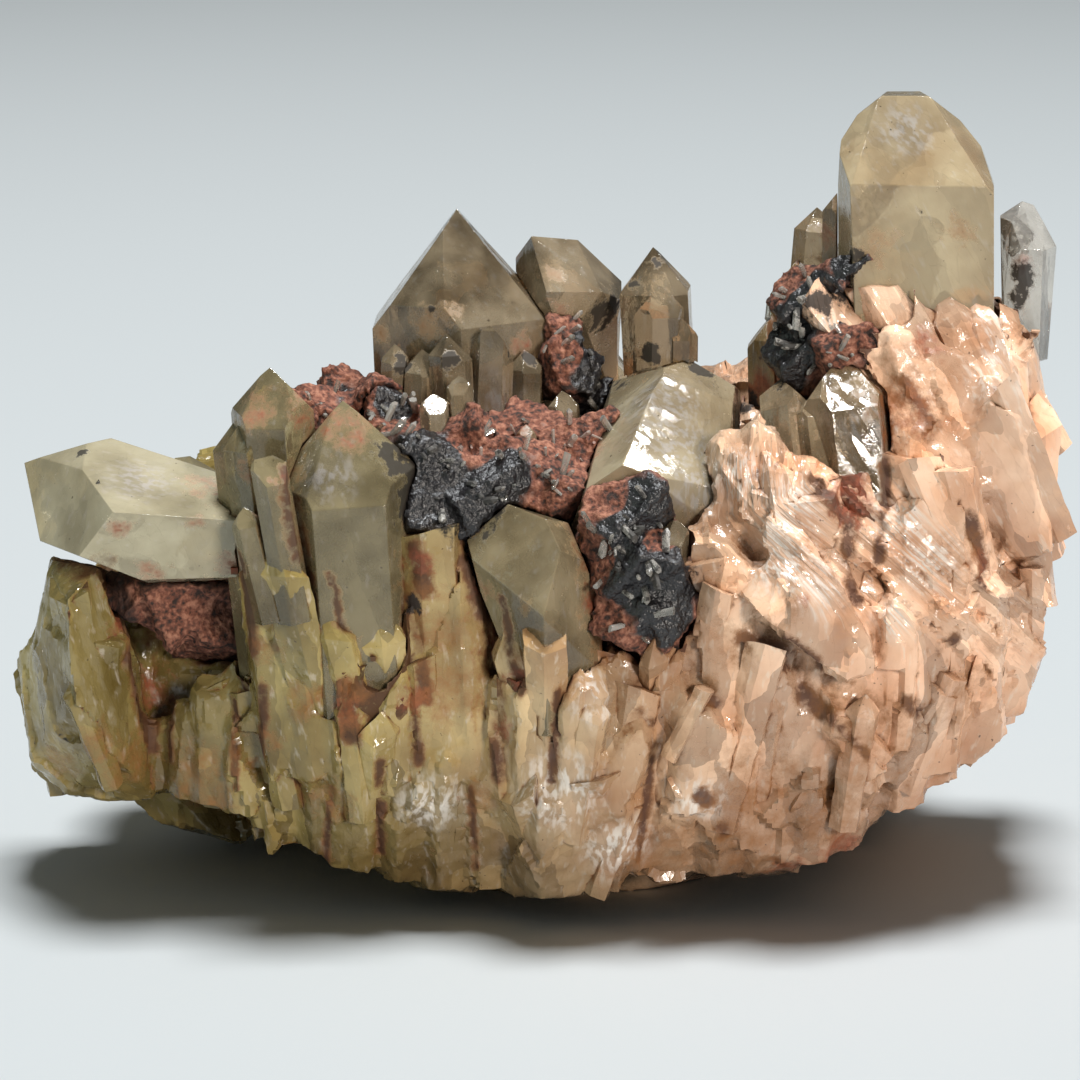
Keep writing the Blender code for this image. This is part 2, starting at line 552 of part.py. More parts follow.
def back_blocks():
    """The body behind the valley, plain places in mm, with the flat resting spot below it."""
    return [
        hull_of([Vector(corner) for corner in (
            (-66, 2, 28), (-58, 24, 30), (-20, 38, 22), (30, 40, 22), (66, 28, 34), (76, 6, 40),
            (-60, 4, 58), (-50, 26, 56), (-14, 34, 66), (20, 36, 68), (52, 30, 80), (72, 18, 88),
            (74, -4, 88), (-20, -14, 60), (40, -10, 66), (-26, 12, 5), (40, 8, 5))]),
        hull_of([Vector(corner) for corner in (
            (-18, -9, -1), (-4, -16, -1), (14, -15, -1), (30, -6, -1), (36, 10, -1), (28, 24, -1),
            (-10, 24, -1), (-24, 10, -1), (-40, -14, 14), (0, -24, 10), (48, -16, 12), (54, 24, 16),
            (-36, 28, 16), (0, 34, 16))]),
        hull_of([Vector(corner) for corner in (
            (-56, -12, 54), (-40, -18, 66), (-42, 14, 68), (-20, 18, 76), (-10, -12, 70),
            (-58, 10, 54), (-30, 24, 58), (-20, -16, 50), (-50, -14, 40), (-44, 16, 40))]),
        hull_of([Vector(corner) for corner in (
            (8, 6, 76), (20, 8, 76), (30, 8, 72), (30, 24, 70), (0, 26, 76), (-6, 8, 74),
            (0, 2, 60), (32, 2, 60), (30, 26, 60), (0, 26, 60))]),
        hull_of([Vector(corner) for corner in (
            (40, -6, 76), (50, -8, 86), (70, -6, 94), (78, 2, 90), (74, 18, 90), (52, 20, 86),
            (38, 14, 72), (36, -10, 60), (78, 0, 60), (74, 20, 60), (36, 18, 60))]),
    ]


def back_columns():
    """Columns that fan out over the hidden back, as the front ones do."""
    columns = []
    for count, height, reach in ((7, 24.0, 40.0), (9, 40.0, 41.0), (7, 56.0, 39.0)):
        for number in range(count):
            share = (number + 0.5) / count
            turn = math.radians(-22.0 + 210.0 * share + rng.uniform(-3.0, 3.0))
            outward = Vector((1.86 * math.cos(turn), math.sin(turn), 0.0)) * reach
            lift = height + 8.0 * math.cos(turn)
            tip = outward * rng.uniform(0.98, 1.06) + Vector((4.0, -2.0, lift + rng.uniform(6.0, 13.0)))
            foot = outward * 0.72 + Vector((3.0, -2.0, lift - rng.uniform(10.0, 16.0)))
            width = rng.uniform(12.0, 18.0)
            faces = prism(tip, foot, width, width * rng.uniform(0.7, 1.0), rng.uniform(0.0, 60.0),
                          chisel(), facing=outward.normalized())
            columns.append(faces + [broken_end(faces)])
    return columns


BACK_POINTS = (
    ("back_point_1", (-44.0, 30.0, 62.0), (-30.0, 12.0, 34.0), 13.0, 10.0),
    ("back_point_2", (-13.0, 33.0, 87.0), (-10.0, 16.0, 46.0), 14.0, 25.0),
    ("back_point_3", (10.0, 38.0, 80.0), (6.0, 18.0, 46.0), 13.0, 0.0),
    ("back_point_4", (30.0, 39.0, 70.0), (20.0, 16.0, 40.0), 13.0, 20.0),
    ("back_point_5", (58.0, 32.0, 104.0), (48.0, 14.0, 60.0), 13.0, 35.0),
    ("back_point_6", (-62.0, 20.0, 55.0), (-40.0, 12.0, 38.0), 11.0, 5.0),
)


# The lower outline of the cluster as seen from the front, from left to right, in picture units
LOWER_OUTLINE = ((14, 668), (31, 770), (66, 799), (302, 861), (422, 890), (560, 899),
                 (822, 870), (906, 823), (1024, 717), (1044, 650), (1054, 560), (1056, 380))


def outline_cone():
    """Everything inside the lower outline: a face through the eye and each of its edges."""
    tilt = math.radians(SIGHT_TILT_DEG)
    eye = Vector((0.0, 0.0, SIGHT_HEIGHT))
    eye = eye - Vector((0.0, math.cos(tilt), -math.sin(tilt))) * SIGHT_DISTANCE
    middle = Vector((0.0, 0.0, 60.0))
    faces = [(Vector(place), Vector(outward)) for place, outward in (
        ((0.0, 0.0, REST_HEIGHT), (0.0, 0.0, -1.0)), ((0.0, 0.0, 130.0), (0.0, 0.0, 1.0)),
        ((0.0, -60.0, 0.0), (0.0, -1.0, 0.0)), ((0.0, 60.0, 0.0), (0.0, 1.0, 0.0)),
        ((-90.0, 0.0, 0.0), (-1.0, 0.0, 0.0)))]
    for one, two in zip(LOWER_OUTLINE[:-1], LOWER_OUTLINE[1:]):
        place = seen_at(*one, 0.0)
        outward = (place - eye).cross(seen_at(*two, 0.0) - eye).normalized()
        if outward.dot(middle - place) > 0.0:
            outward = -outward
        faces.append((place, outward))
    return faces


def build():
    start_empty()
    milky = quartz("milky quartz", MILKY, 0.3)
    smoky = quartz("smoky quartz", SMOKY, 0.15, 0.6)
    rose_beige = quartz("rose-beige quartz", ROSE_BEIGE, 0.35)
    clear = quartz("clear quartz", CLEAR, 0.1, 0.8)
    red_oxide = quartz("red oxide crust", RED_OXIDE, 0.8)
    black_oxide = quartz("black oxide crust", BLACK_OXIDE, 0.45)

    pieces = [
        ("tall_point", tall_point(), smoky),
        ("right_tall_point", right_tall_point(), milky),
        ("bright_point", bright_point(), milky),
        ("front_centre_point", front_centre_point(), milky),
        ("front_left_point", front_left_point(), milky),
        ("small_front_points", small_front_points(), milky),
        ("coated_point", coated_point(), milky),
        ("wing_point", wing_point(), milky),
        ("wing_side_point", wing_side_point(), milky),
        ("third_back_points", third_back_points(), milky),
        ("second_back_point", second_back_point(), milky),
        ("right_clear_point", right_clear_point(), clear),
        ("right_side_points", right_side_points(), milky),
        ("dark_coated_points", dark_coated_points(), black_oxide),
        ("grey_block_points", grey_block_points(), milky),
    ]
    for name, tip_at, foot_at, width, spin_deg, steps in VALLEY_POINTS:
        pieces.append((name, [crystal(tip_at, foot_at, width, width, spin_deg, steps)], smoky))
    back = Vector((0.0, 1.0, 0.0))
    for name, tip, foot, width, spin_deg in BACK_POINTS:
        body = prism(Vector(tip), Vector(foot), width, width, spin_deg, facing=back)
        pieces.append((name, [body], milky))
    pieces += [
        ("black_crust", black_crust(), black_oxide), ("valley_crust", valley_crust(), red_oxide),
        ("ridge_crust", ridge_crust(), red_oxide), ("right_crust", right_crust(), red_oxide),
        ("cavity_crust", cavity_crust(), red_oxide), ("shoulder_crust", shoulder_crust(), red_oxide),
    ]
    mass = (front_blocks() + back_blocks() + back_columns()
            + [column(*place) for place in FRONT_COLUMNS]
            + [column(*place) for place in LEANING_COLUMNS])
    pieces.append(("quartz_mass", mass, rose_beige))

    # Each piece gives way to the ones before it, which leaves the sockets that they sit in
    taken = []
    for name, bodies, material in pieces:
        thing = mesh_object(name, body_of(bodies[0]))
        if len(bodies) > 1:
            boolean(thing, "UNION", [(faces, 0.0) for faces in bodies[1:]])
        if taken:
            boolean(thing, "DIFFERENCE", [(faces, SEAM) for faces in taken])
        if name == "quartz_mass":
            boolean(thing, "INTERSECT", [(outline_cone(), 0.0)])
        tidy(thing)
        thing.data.materials.clear()
        thing.data.materials.append(material)
        taken += bodies

    # From millimetres to metres, with the origin under the middle of the box
    place = Matrix.Scale(MM, 4) @ Matrix.Translation(Vector((-BOX_CENTRE_X, -BOX_CENTRE_Y, 0.0)))
    for thing in bpy.data.objects:
        thing.data.transform(place)


build()
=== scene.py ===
import math
import random

import bmesh
import bpy
import numpy as np
from mathutils import Matrix, Vector, noise
from mathutils.bvhtree import BVHTree


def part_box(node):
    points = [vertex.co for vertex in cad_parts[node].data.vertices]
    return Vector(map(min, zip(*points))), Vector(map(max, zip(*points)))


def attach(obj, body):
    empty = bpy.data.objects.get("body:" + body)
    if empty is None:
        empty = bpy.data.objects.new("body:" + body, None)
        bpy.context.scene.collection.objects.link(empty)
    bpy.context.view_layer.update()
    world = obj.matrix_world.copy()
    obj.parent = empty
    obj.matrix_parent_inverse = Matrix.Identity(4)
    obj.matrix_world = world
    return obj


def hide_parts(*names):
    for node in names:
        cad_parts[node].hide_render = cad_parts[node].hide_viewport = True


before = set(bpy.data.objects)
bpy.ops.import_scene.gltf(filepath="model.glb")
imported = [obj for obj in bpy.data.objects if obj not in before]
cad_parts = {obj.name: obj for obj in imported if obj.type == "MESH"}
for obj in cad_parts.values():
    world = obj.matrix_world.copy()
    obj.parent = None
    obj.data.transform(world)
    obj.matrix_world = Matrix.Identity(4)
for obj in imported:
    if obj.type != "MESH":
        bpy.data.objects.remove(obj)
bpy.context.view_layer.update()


# The quartz mass: milky quartz columns that grew side by side from the rock below and fused into one
# body. Its skin is broken and weathered, so it is remeshed finely and broken up along the columns.
MM = 0.001
MASS_MESH = 0.85 * MM
SKIN_CELL = Vector((8.0, 8.0, 22.0)) * MM
SKIN_RELIEF = 0.95 * MM
CHIP_CELL = Vector((2.8, 3.0, 8.5)) * MM
CHIP_RELIEF = 0.1 * MM
SKIN_GRAIN = 0.25 * MM
FAN_CENTRE = Vector((4.0, 0.0, -190.0)) * MM
LEANING_FROM = Vector((22.0, 0.0, 62.0)) * MM
LEANING_WAY = Vector((-0.47, 0.0, 0.88)).normalized()
LEANING_CHANGE = 26.0 * MM
SHARP_EDGE = math.radians(28.0)


def growth_way(place):
    """The way the columns grow at a place: a fan from below, and leaning over at the upper right."""
    across = place.x - LEANING_FROM.x
    above = place.z - LEANING_FROM.z + 0.5 * across
    leaning = min(1.0, max(0.0, min(across, above) / LEANING_CHANGE))
    fan = (Vector((place.x, 0.35 * place.y, place.z)) - FAN_CENTRE).normalized()
    return fan.lerp(LEANING_WAY, leaning * leaning * (3.0 - 2.0 * leaning)).normalized()


def grain_at(place, way):
    """A place in the columns' own directions: across them, through them and along them."""
    side = Vector((way.z, 0.0, -way.x)).normalized()
    return Vector((place.dot(side), place.y, place.dot(way)))


def merged_copy(name):
    """A CAD node's mesh with its loose triangles merged."""
    bm = bmesh.new()
    bm.from_mesh(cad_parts[name].data)
    bmesh.ops.remove_doubles(bm, verts=bm.verts, dist=0.001 * MM)
    bmesh.ops.dissolve_limit(bm, angle_limit=math.radians(0.5), verts=bm.verts, edges=bm.edges)
    return bm


def piece_of(bm, name, smooth):
    """A scene object from a bmesh, at the origin."""
    mesh = bpy.data.meshes.new(name)
    bm.to_mesh(mesh)
    bm.free()
    mesh.polygons.foreach_set("use_smooth", [smooth] * len(mesh.polygons))
    piece = bpy.data.objects.new(name, mesh)
    bpy.context.scene.collection.objects.link(piece)
    return piece


def remeshed(piece, size):
    """Rebuild a piece's skin with faces of an even size."""
    change = piece.modifiers.new("even skin", "REMESH")
    change.mode = "VOXEL"
    change.voxel_size = size
    shape = piece.evaluated_get(bpy.context.evaluated_depsgraph_get())
    mesh = bpy.data.meshes.new_from_object(shape)
    mesh.name = piece.name
    piece.modifiers.remove(change)
    piece.data = mesh
    mesh.polygons.foreach_set("use_smooth", [True] * len(mesh.polygons))


def displaced(piece, height_at):
    """Move each corner of a piece along its normal by a height that depends on its place."""
    mesh = piece.data
    moved = [corner.co + normal.vector * height_at(corner.co)
             for corner, normal in zip(mesh.vertices, mesh.vertex_normals)]
    mesh.vertices.foreach_set("co", [value for place in moved for value in place])
    mesh.update()


def broken_faces(grain, size):
    """Flat broken faces of a size, each tilted and set back its own way."""
    cell = Vector([one / side for one, side in zip(grain, size)])
    _, seeds = noise.voronoi(cell)
    tilt = noise.cell_vector(seeds[0] * 7.31) - Vector((0.5, 0.5, 0.5))
    step = noise.cell(seeds[0] * 3.17) - 0.6
    return tilt.dot(cell - seeds[0]) * 1.6 + step * 0.7


def broken_skin(place):
    """Relief of the mass: large broken faces, chips on them and a fine grain."""
    grain = grain_at(place, growth_way(place))
    height = broken_faces(grain, SKIN_CELL) * SKIN_RELIEF + broken_faces(grain, CHIP_CELL) * CHIP_RELIEF
    height += noise.fractal(place / (2.2 * MM), 1.0, 2.0, 3) * SKIN_GRAIN
    return height * min(1.0, max(0.0, (place.z - 1.0 * MM) / (6.0 * MM)))


mass = piece_of(merged_copy("quartz_mass"), "mass_skin", True)
remeshed(mass, MASS_MESH)
displaced(mass, broken_skin)
mass.data.set_sharp_from_angle(angle=SHARP_EDGE)
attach(mass, "root")
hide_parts("quartz_mass")
pieces = {"mass_skin": mass}


# The fused columns: quartz points that stand a little out of the mass, tips up. Each is a six-sided
# prism with uneven end faces, broken on many of them, and its foot is buried in the mass.
COLUMN_SPACING = (84.0, 110.0)
SOWN_ACROSS = (20.0, 1050.0)
SOWN_DOWN = (300.0, 880.0)
SOWN_UNEVEN = (14.0, 24.0)
ROW_SHIFT = 16.0
STEEPEST = 0.8
COLUMN_WIDTH = (3.0 * MM, 7.5 * MM)
COLUMN_STANDS_OUT = (-0.02, 0.2)
COLUMN_UNEVEN = 0.35 * MM

# The largest ones, each as the tip, the foot and the width that the picture shows
LARGE_COLUMNS = (
    (268, 545, 300, 760, 55), (315, 600, 330, 730, 62), (368, 604, 374, 730, 58),
    (342, 748, 345, 850, 50), (384, 715, 388, 800, 42), (435, 530, 450, 790, 64),
    (500, 612, 528, 800, 62), (548, 640, 560, 790, 50), (212, 682, 210, 800, 52),
    (180, 715, 182, 795, 36), (247, 692, 250, 800, 34), (285, 745, 290, 850, 46),
    (450, 770, 450, 880, 52), (400, 760, 405, 870, 46), (510, 790, 515, 885, 52),
    (640, 690, 625, 800, 62), (602, 650, 612, 740, 48), (690, 690, 680, 800, 52),
    (660, 640, 670, 700, 42), (716, 442, 774, 520, 34), (750, 430, 802, 498, 38),
    (802, 486, 852, 678, 88), (812, 290, 950, 440, 46), (872, 286, 985, 470, 48),
    (935, 296, 1003, 430, 52), (975, 296, 1030, 450, 60), (985, 394, 1030, 540, 60),
    (905, 455, 915, 640, 84), (950, 470, 985, 600, 50), (885, 600, 895, 705, 60),
    (955, 600, 940, 710, 62), (1010, 592, 1000, 705, 52), (702, 560, 735, 640, 62),
    (768, 690, 748, 850, 36), (802, 690, 792, 800, 46), (720, 760, 715, 850, 48),
    (690, 790, 680, 870, 48), (640, 790, 625, 880, 60), (590, 780, 590, 885, 60),
    (820, 780, 800, 870, 50), (868, 770, 850, 838, 50), (920, 700, 900, 780, 46),
    (950, 690, 918, 755, 42), (832, 716, 884, 772, 36), (560, 700, 562, 790, 46), (60, 585, 70, 770, 60),
    (110, 640, 118, 780, 46),
)
LARGE_STANDS_OUT = 0.26
LARGE_FOOT_SUNK = 0.95
HOLLOW_EDGES = (112.0, 252.0, 575.0, 752.0)
BACK_COLUMN_COUNT = 170
BACK_COLUMN_WIDTH = (4.0 * MM, 10.0 * MM)
OUTSIDE = 140.0 * MM
LOWEST_FOOT = 3.0 * MM
SPLIT_ROUNDS = 5
COLUMN_STAIN_MESH = 1.9 * MM

# The picture plane: 0.16 mm a unit, 1080 units a side, leaning back with the line of sight
PICTURE_UNIT = 0.16 * MM
PICTURE_CENTRE = 540.0
SIGHT_TILT = math.radians(15.0)
SIGHT_DISTANCE = 576.0 * MM
SIGHT_AT = Vector((0.533, -1.013, 54.0)) * MM
AHEAD = Vector((0.0, math.cos(SIGHT_TILT), -math.sin(SIGHT_TILT)))
OVER = Vector((0.0, math.sin(SIGHT_TILT), math.cos(SIGHT_TILT)))
EYE = SIGHT_AT - AHEAD * SIGHT_DISTANCE

rng = random.Random(5)


def ray_to(across, down):
    """The line of sight through a place on the picture plane."""
    ray = AHEAD * SIGHT_DISTANCE + Vector((1.0, 0.0, 0.0)) * ((across - PICTURE_CENTRE) * PICTURE_UNIT)
    return (ray + OVER * ((PICTURE_CENTRE - down) * PICTURE_UNIT)).normalized()


def picture_place(place):
    """Where on the picture plane a place is seen."""
    ray = place - EYE
    ray = ray * (SIGHT_DISTANCE / ray.dot(AHEAD))
    return PICTURE_CENTRE + ray.x / PICTURE_UNIT, PICTURE_CENTRE - ray.dot(OVER) / PICTURE_UNIT


def tree_of(meshes):
    """A search tree over several meshes, with the mesh that each of its faces belongs to."""
    corners = []
    faces = []
    owners = []
    for mesh in meshes:
        start = len(corners)
        corners += [corner.co.copy() for corner in mesh.vertices]
        faces += [[start + index for index in face.vertices] for face in mesh.polygons]
        owners += [mesh.name] * len(mesh.polygons)
    return BVHTree.FromPolygons(corners, faces), owners


cad_tree, cad_owners = tree_of([node.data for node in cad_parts.values()])
mass_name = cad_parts["quartz_mass"].data.name


def on_surface(across, down):
    """The first place on the cluster that the line of sight meets, its normal and its node's mesh."""
    place, normal, face, _ = cad_tree.ray_cast(EYE, ray_to(across, down))
    if place is None:
        return None, None, None
    return place, normal, cad_owners[face]


def add_column(bm, tip, foot, width, thick, outward, broken):
    """A quartz point from foot to tip, as the hull of its corners."""
    axis = (tip - foot).normalized()
    front = (outward - axis * outward.dot(axis)).normalized()
    side = axis.cross(front)
    length = (tip - foot).length
    spin = rng.uniform(-0.3, 0.3)
    lean = Vector((rng.uniform(-0.6, 0.6), rng.uniform(-0.6, 0.6)))
    corners = []
    for number in range(6):
        turn = spin + math.radians(60.0 * number + 30.0)
        ring = front * (0.5 * thick * math.cos(turn)) + side * (0.5 * width * math.sin(turn))
        ring = ring * rng.uniform(0.86, 1.1)
        if broken:
            drop = lean.x * ring.dot(front) + lean.y * ring.dot(side) + rng.uniform(0.0, 0.06) * width
        else:
            drop = width * rng.uniform(0.45, 0.75)
        corners.append(foot + ring * rng.uniform(0.75, 1.0))
        corners.append(foot + axis * (length - drop) + ring)
    if not broken:
        peak = tip + front * rng.uniform(-0.12, 0.12) * thick + side * rng.uniform(-0.15, 0.15) * width
        corners += [peak, peak + side * rng.uniform(-0.15, 0.15) * width]
    verts = [bm.verts.new(corner) for corner in corners]
    hull = bmesh.ops.convex_hull(bm, input=verts)
    inside = hull["geom_interior"] + hull["geom_unused"]
    spare = [item for item in inside if isinstance(item, bmesh.types.BMVert)]
    bmesh.ops.delete(bm, geom=spare, context="VERTS")
    return [vert for vert in verts if vert.is_valid]


def grow_column(bm, place, normal, width, length, broken):
    """A column that lies along the mass at a place, buried at the foot and standing out at the tip."""
    way = growth_way(place)
    way = (way + Vector([rng.uniform(-0.13, 0.13) for _ in range(3)])).normalized()
    along = (way - normal * way.dot(normal)).normalized()
    thick = width * rng.uniform(0.7, 1.1)
    tip = place + along * (0.45 * length) + normal * (thick * (rng.uniform(*COLUMN_STANDS_OUT) - 0.5))
    foot = place - along * (0.55 * length) - normal * (thick * 0.62)
    hidden = normal.y > 0.2
    for end in (tip + along * 0.5 * width, tip, foot):
        owner = on_surface(*picture_place(end))[2]
        if owner is None or (owner != mass_name and not hidden):
            return
    if foot.z < LOWEST_FOOT:
        return
    add_column(bm, tip, foot, width, thick, normal, broken)


bm = bmesh.new()
for tip_across, tip_down, foot_across, foot_down, wide in LARGE_COLUMNS:
    tip, tip_normal, _ = on_surface(tip_across, tip_down)
    foot, foot_normal, _ = on_surface(foot_across, foot_down)
    width = wide * PICTURE_UNIT
    thick = width * rng.uniform(0.55, 0.8)
    middle_normal = (tip_normal + foot_normal).normalized()
    tip = tip - middle_normal * thick * (0.5 - LARGE_STANDS_OUT)
    foot = foot - middle_normal * thick * LARGE_FOOT_SUNK
    add_column(bm, tip, foot, width, thick, middle_normal, rng.random() < 0.45)
left, right, top, bottom = HOLLOW_EDGES
down = SOWN_DOWN[0]
row = 0
while down < SOWN_DOWN[1]:
    across = SOWN_ACROSS[0] + ROW_SHIFT * (row % 2)
    while across < SOWN_ACROSS[1]:
        seen_across = across + rng.uniform(-SOWN_UNEVEN[0], SOWN_UNEVEN[0])
        seen_down = down + rng.uniform(-SOWN_UNEVEN[1], SOWN_UNEVEN[1])
        place, normal, owner = on_surface(seen_across, seen_down)
        in_hollow = left < seen_across < right and top < seen_down < bottom
        if owner == mass_name and normal.z < STEEPEST and not in_hollow:
            width = rng.uniform(*COLUMN_WIDTH)
            grow_column(bm, place, normal, width, width * rng.uniform(2.6, 4.6), rng.random() < 0.5)
        across += COLUMN_SPACING[0]
    down += COLUMN_SPACING[1]
    row += 1
low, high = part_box("quartz_mass")
for number in range(BACK_COLUMN_COUNT):
    turn = rng.uniform(math.radians(-25.0), math.radians(205.0))
    height = rng.uniform(6.0 * MM, high.z)
    start = Vector((OUTSIDE * math.cos(turn), OUTSIDE * math.sin(turn), height))
    aim = Vector((0.45 * start.x, 0.0, height))
    place, normal, face, _ = cad_tree.ray_cast(start, (aim - start).normalized())
    if place is not None and cad_owners[face] == mass_name and normal.z < STEEPEST:
        width = rng.uniform(*BACK_COLUMN_WIDTH)
        grow_column(bm, place, normal, width, width * rng.uniform(2.5, 4.0), rng.random() < 0.4)
bmesh.ops.dissolve_limit(bm, angle_limit=math.radians(4.0), verts=bm.verts, edges=bm.edges)
bmesh.ops.recalc_face_normals(bm, faces=bm.faces)


def split_long_edges(bm, longest):
    """Split edges until none is longer than the length given, so that a piece can carry its stains."""
    bmesh.ops.triangulate(bm, faces=bm.faces)
    for _ in range(SPLIT_ROUNDS):
        long_edges = [edge for edge in bm.edges if edge.calc_length() > longest]
        bmesh.ops.subdivide_edges(bm, edges=long_edges, cuts=1, use_single_edge=True)
        bmesh.ops.triangulate(bm, faces=[face for face in bm.faces if len(face.verts) > 3])


split_long_edges(bm, COLUMN_STAIN_MESH)
columns = piece_of(bm, "fused_columns", False)
displaced(columns, lambda place: COLUMN_UNEVEN * noise.noise(place / (2.5 * MM)))
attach(columns, "root")
pieces["fused_columns"] = columns


# The standing crystals: quartz points with flat faces and edges worn a little round. The smoky and
# clear ones let light through, and the milky ones hold fine bubbles that scatter it.
EDGE_WEAR = 0.16 * MM
STAIN_MESH = 1.6 * MM
SMOKY_NODES = ["tall_point"] + ["valley_point_%d" % number for number in range(1, 8)]
CLEAR_NODES = ["right_clear_point"]
MILKY_NODES = ["right_tall_point", "bright_point", "front_centre_point", "front_left_point",
               "small_front_points", "coated_point", "wing_point", "wing_side_point",
               "third_back_points", "second_back_point", "right_side_points", "dark_coated_points",
               "grey_block_points"] + ["back_point_%d" % number for number in range(1, 7)]


def crystal_piece(name):
    """A crystal with worn edges in the place of its CAD node."""
    bm = merged_copy(name)
    edges = [edge for edge in bm.edges if edge.calc_face_angle(0.0) > math.radians(12.0) and edge.is_convex]
    bmesh.ops.bevel(bm, geom=edges, offset=EDGE_WEAR, offset_type="OFFSET", segments=2, profile=0.5,
                    affect="EDGES", clamp_overlap=True, material=-1)
    split_long_edges(bm, STAIN_MESH)
    piece = piece_of(bm, name + "_worn", False)
    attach(piece, "root")
    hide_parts(name)
    pieces[name] = piece


for name in SMOKY_NODES:
    crystal_piece(name)
for name in CLEAR_NODES:
    crystal_piece(name)
for name in MILKY_NODES:
    crystal_piece(name)


# The veils: healed cracks sealed inside the clearer crystals, thin wavy sheets that glint silvery. Each
# lies a few millimetres behind the face, and is kept within its crystal.
VEILS = (
    ("tall_point", 480, 312, 4.0, 4.6, 5.2, 20.0), ("tall_point", 430, 286, 5.0, 5.5, 2.4, -15.0),
    ("tall_point", 460, 345, 7.0, 6.5, 3.0, 8.0), ("tall_point", 420, 325, 3.5, 3.0, 5.0, -30.0),
    ("tall_point", 505, 330, 5.0, 2.6, 5.5, 40.0), ("right_tall_point", 895, 150, 4.0, 6.0, 6.0, 25.0),
    ("right_tall_point", 915, 232, 5.0, 5.0, 2.6, -20.0),
    ("right_tall_point", 870, 200, 7.0, 4.0, 6.5, 35.0),
    ("front_left_point", 338, 480, 4.0, 3.2, 4.0, 15.0),
    ("front_left_point", 330, 530, 3.0, 4.4, 1.8, 30.0),
    ("front_left_point", 360, 570, 5.0, 3.5, 4.5, -25.0),
    ("front_centre_point", 515, 560, 3.5, 4.4, 4.0, 10.0),
    ("second_back_point", 560, 262, 4.0, 4.2, 3.0, 25.0),
    ("third_back_points", 655, 285, 3.0, 2.5, 4.5, -15.0), ("wing_point", 110, 500, 5.0, 6.0, 4.0, 20.0),
    ("right_clear_point", 1022, 232, 2.0, 1.8, 4.0, 10.0),
)
VEIL_THICKNESS = 0.12 * MM
VEIL_WAVE = 0.8 * MM
FACE_MARGIN = 0.5 * MM

bm = bmesh.new()
for name, across, down, depth, half_width, half_height, turn in VEILS:
    middle = on_surface(across, down)[0] + ray_to(across, down) * (depth * MM)
    shape = Matrix.Translation(middle) @ Matrix.Rotation(math.radians(turn), 4, "Y")
    shape = shape @ Matrix.Rotation(math.radians(1.5 * turn), 4, "Z")
    shape = shape @ Matrix.Diagonal((half_width * MM, VEIL_THICKNESS, half_height * MM, 1.0))
    sheet = bmesh.ops.create_icosphere(bm, subdivisions=3, radius=1.0, matrix=shape)["verts"]
    crystal, _ = tree_of([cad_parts[name].data])
    for vert in sheet:
        wave = noise.noise(vert.co / (2.5 * MM))
        vert.co += Vector((0.2, 1.0, 0.2)) * (VEIL_WAVE * wave)
        face_place, face_normal, _, _ = crystal.find_nearest(vert.co)
        past = (vert.co - face_place).dot(face_normal) + FACE_MARGIN
        if past > 0.0:
            vert.co -= face_normal * past
veils = piece_of(bm, "veils", True)
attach(veils, "root")
pieces["veils"] = veils


# The crust: iron and manganese oxide that settled between the crystals, as red earthy grains and black
# knobbly lumps. Each lump is remeshed finely and raised into knobs, and it sits where its node is.
CRUST_MESH = 0.55 * MM
CRUST_KNOBS = 1.9 * MM
CRUST_RELIEF = 0.9 * MM
CRUST_NODES = {"black_crust": "black_oxide_crust", "valley_crust": "red_oxide_crust",
               "ridge_crust": "red_oxide_crust", "right_crust": "red_oxide_crust",
               "cavity_crust": "red_oxide_crust", "shoulder_crust": "red_oxide_crust"}


def knobbly(place):
    """Relief of the crust: knobs, the gaps between them, and a fine grain."""
    distances, _ = noise.voronoi(place / CRUST_KNOBS)
    knob = 0.55 - distances[0]
    grain = noise.fractal(place / (0.9 * MM), 1.0, 2.0, 3)
    swell = noise.noise(place / (5.0 * MM))
    return CRUST_RELIEF * (knob + 0.3 * grain + 0.5 * swell)


for name, slot in CRUST_NODES.items():
    piece = piece_of(merged_copy(name), name + "_grains", True)
    remeshed(piece, CRUST_MESH)
    displaced(piece, knobbly)
    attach(piece, "root")
    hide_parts(name)
    pieces[name] = piece


# The druse: fine clear quartz points that grew last, on the crust and in the gaps. Each is one small
# prism, and its foot is sunk a little into the crust that carries it.
DRUSE_AREAS = (
    (450.0, 450.0, 90.0, 62.0, 50, 0.8), (570.0, 450.0, 60.0, 60.0, 30, 0.8),
    (638.0, 560.0, 46.0, 80.0, 34, 0.9), (330.0, 425.0, 60.0, 40.0, 40, 0.7),
    (600.0, 340.0, 60.0, 50.0, 20, 0.7), (800.0, 320.0, 60.0, 70.0, 36, 0.8),
    (720.0, 380.0, 40.0, 30.0, 24, 0.8), (205.0, 520.0, 30.0, 50.0, 16, 0.6),
)
DRUSE_LENGTH = (1.2 * MM, 3.8 * MM)
DRUSE_FOOT = 0.6 * MM
DRUSE_FRONT = Vector((0.3, -0.9, 0.2))

bm = bmesh.new()
for middle_across, middle_down, reach_across, reach_down, count, size in DRUSE_AREAS:
    for number in range(count):
        spot = (rng.gauss(middle_across, 0.5 * reach_across), rng.gauss(middle_down, 0.5 * reach_down))
        place, normal, owner = on_surface(*spot)
        if place is None or not any(owner.startswith(name) for name in CRUST_NODES):
            continue
        length = rng.uniform(*DRUSE_LENGTH) * size
        way = (normal + Vector([rng.uniform(-0.7, 0.7) for _ in range(3)])).normalized()
        width = length * rng.uniform(0.3, 0.5)
        tip = place + way * length
        foot = place - way * DRUSE_FOOT
        add_column(bm, tip, foot, width, width, DRUSE_FRONT, rng.random() < 0.3)
bmesh.ops.recalc_face_normals(bm, faces=bm.faces)
druse = piece_of(bm, "druse", False)
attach(druse, "root")
pieces["druse"] = druse


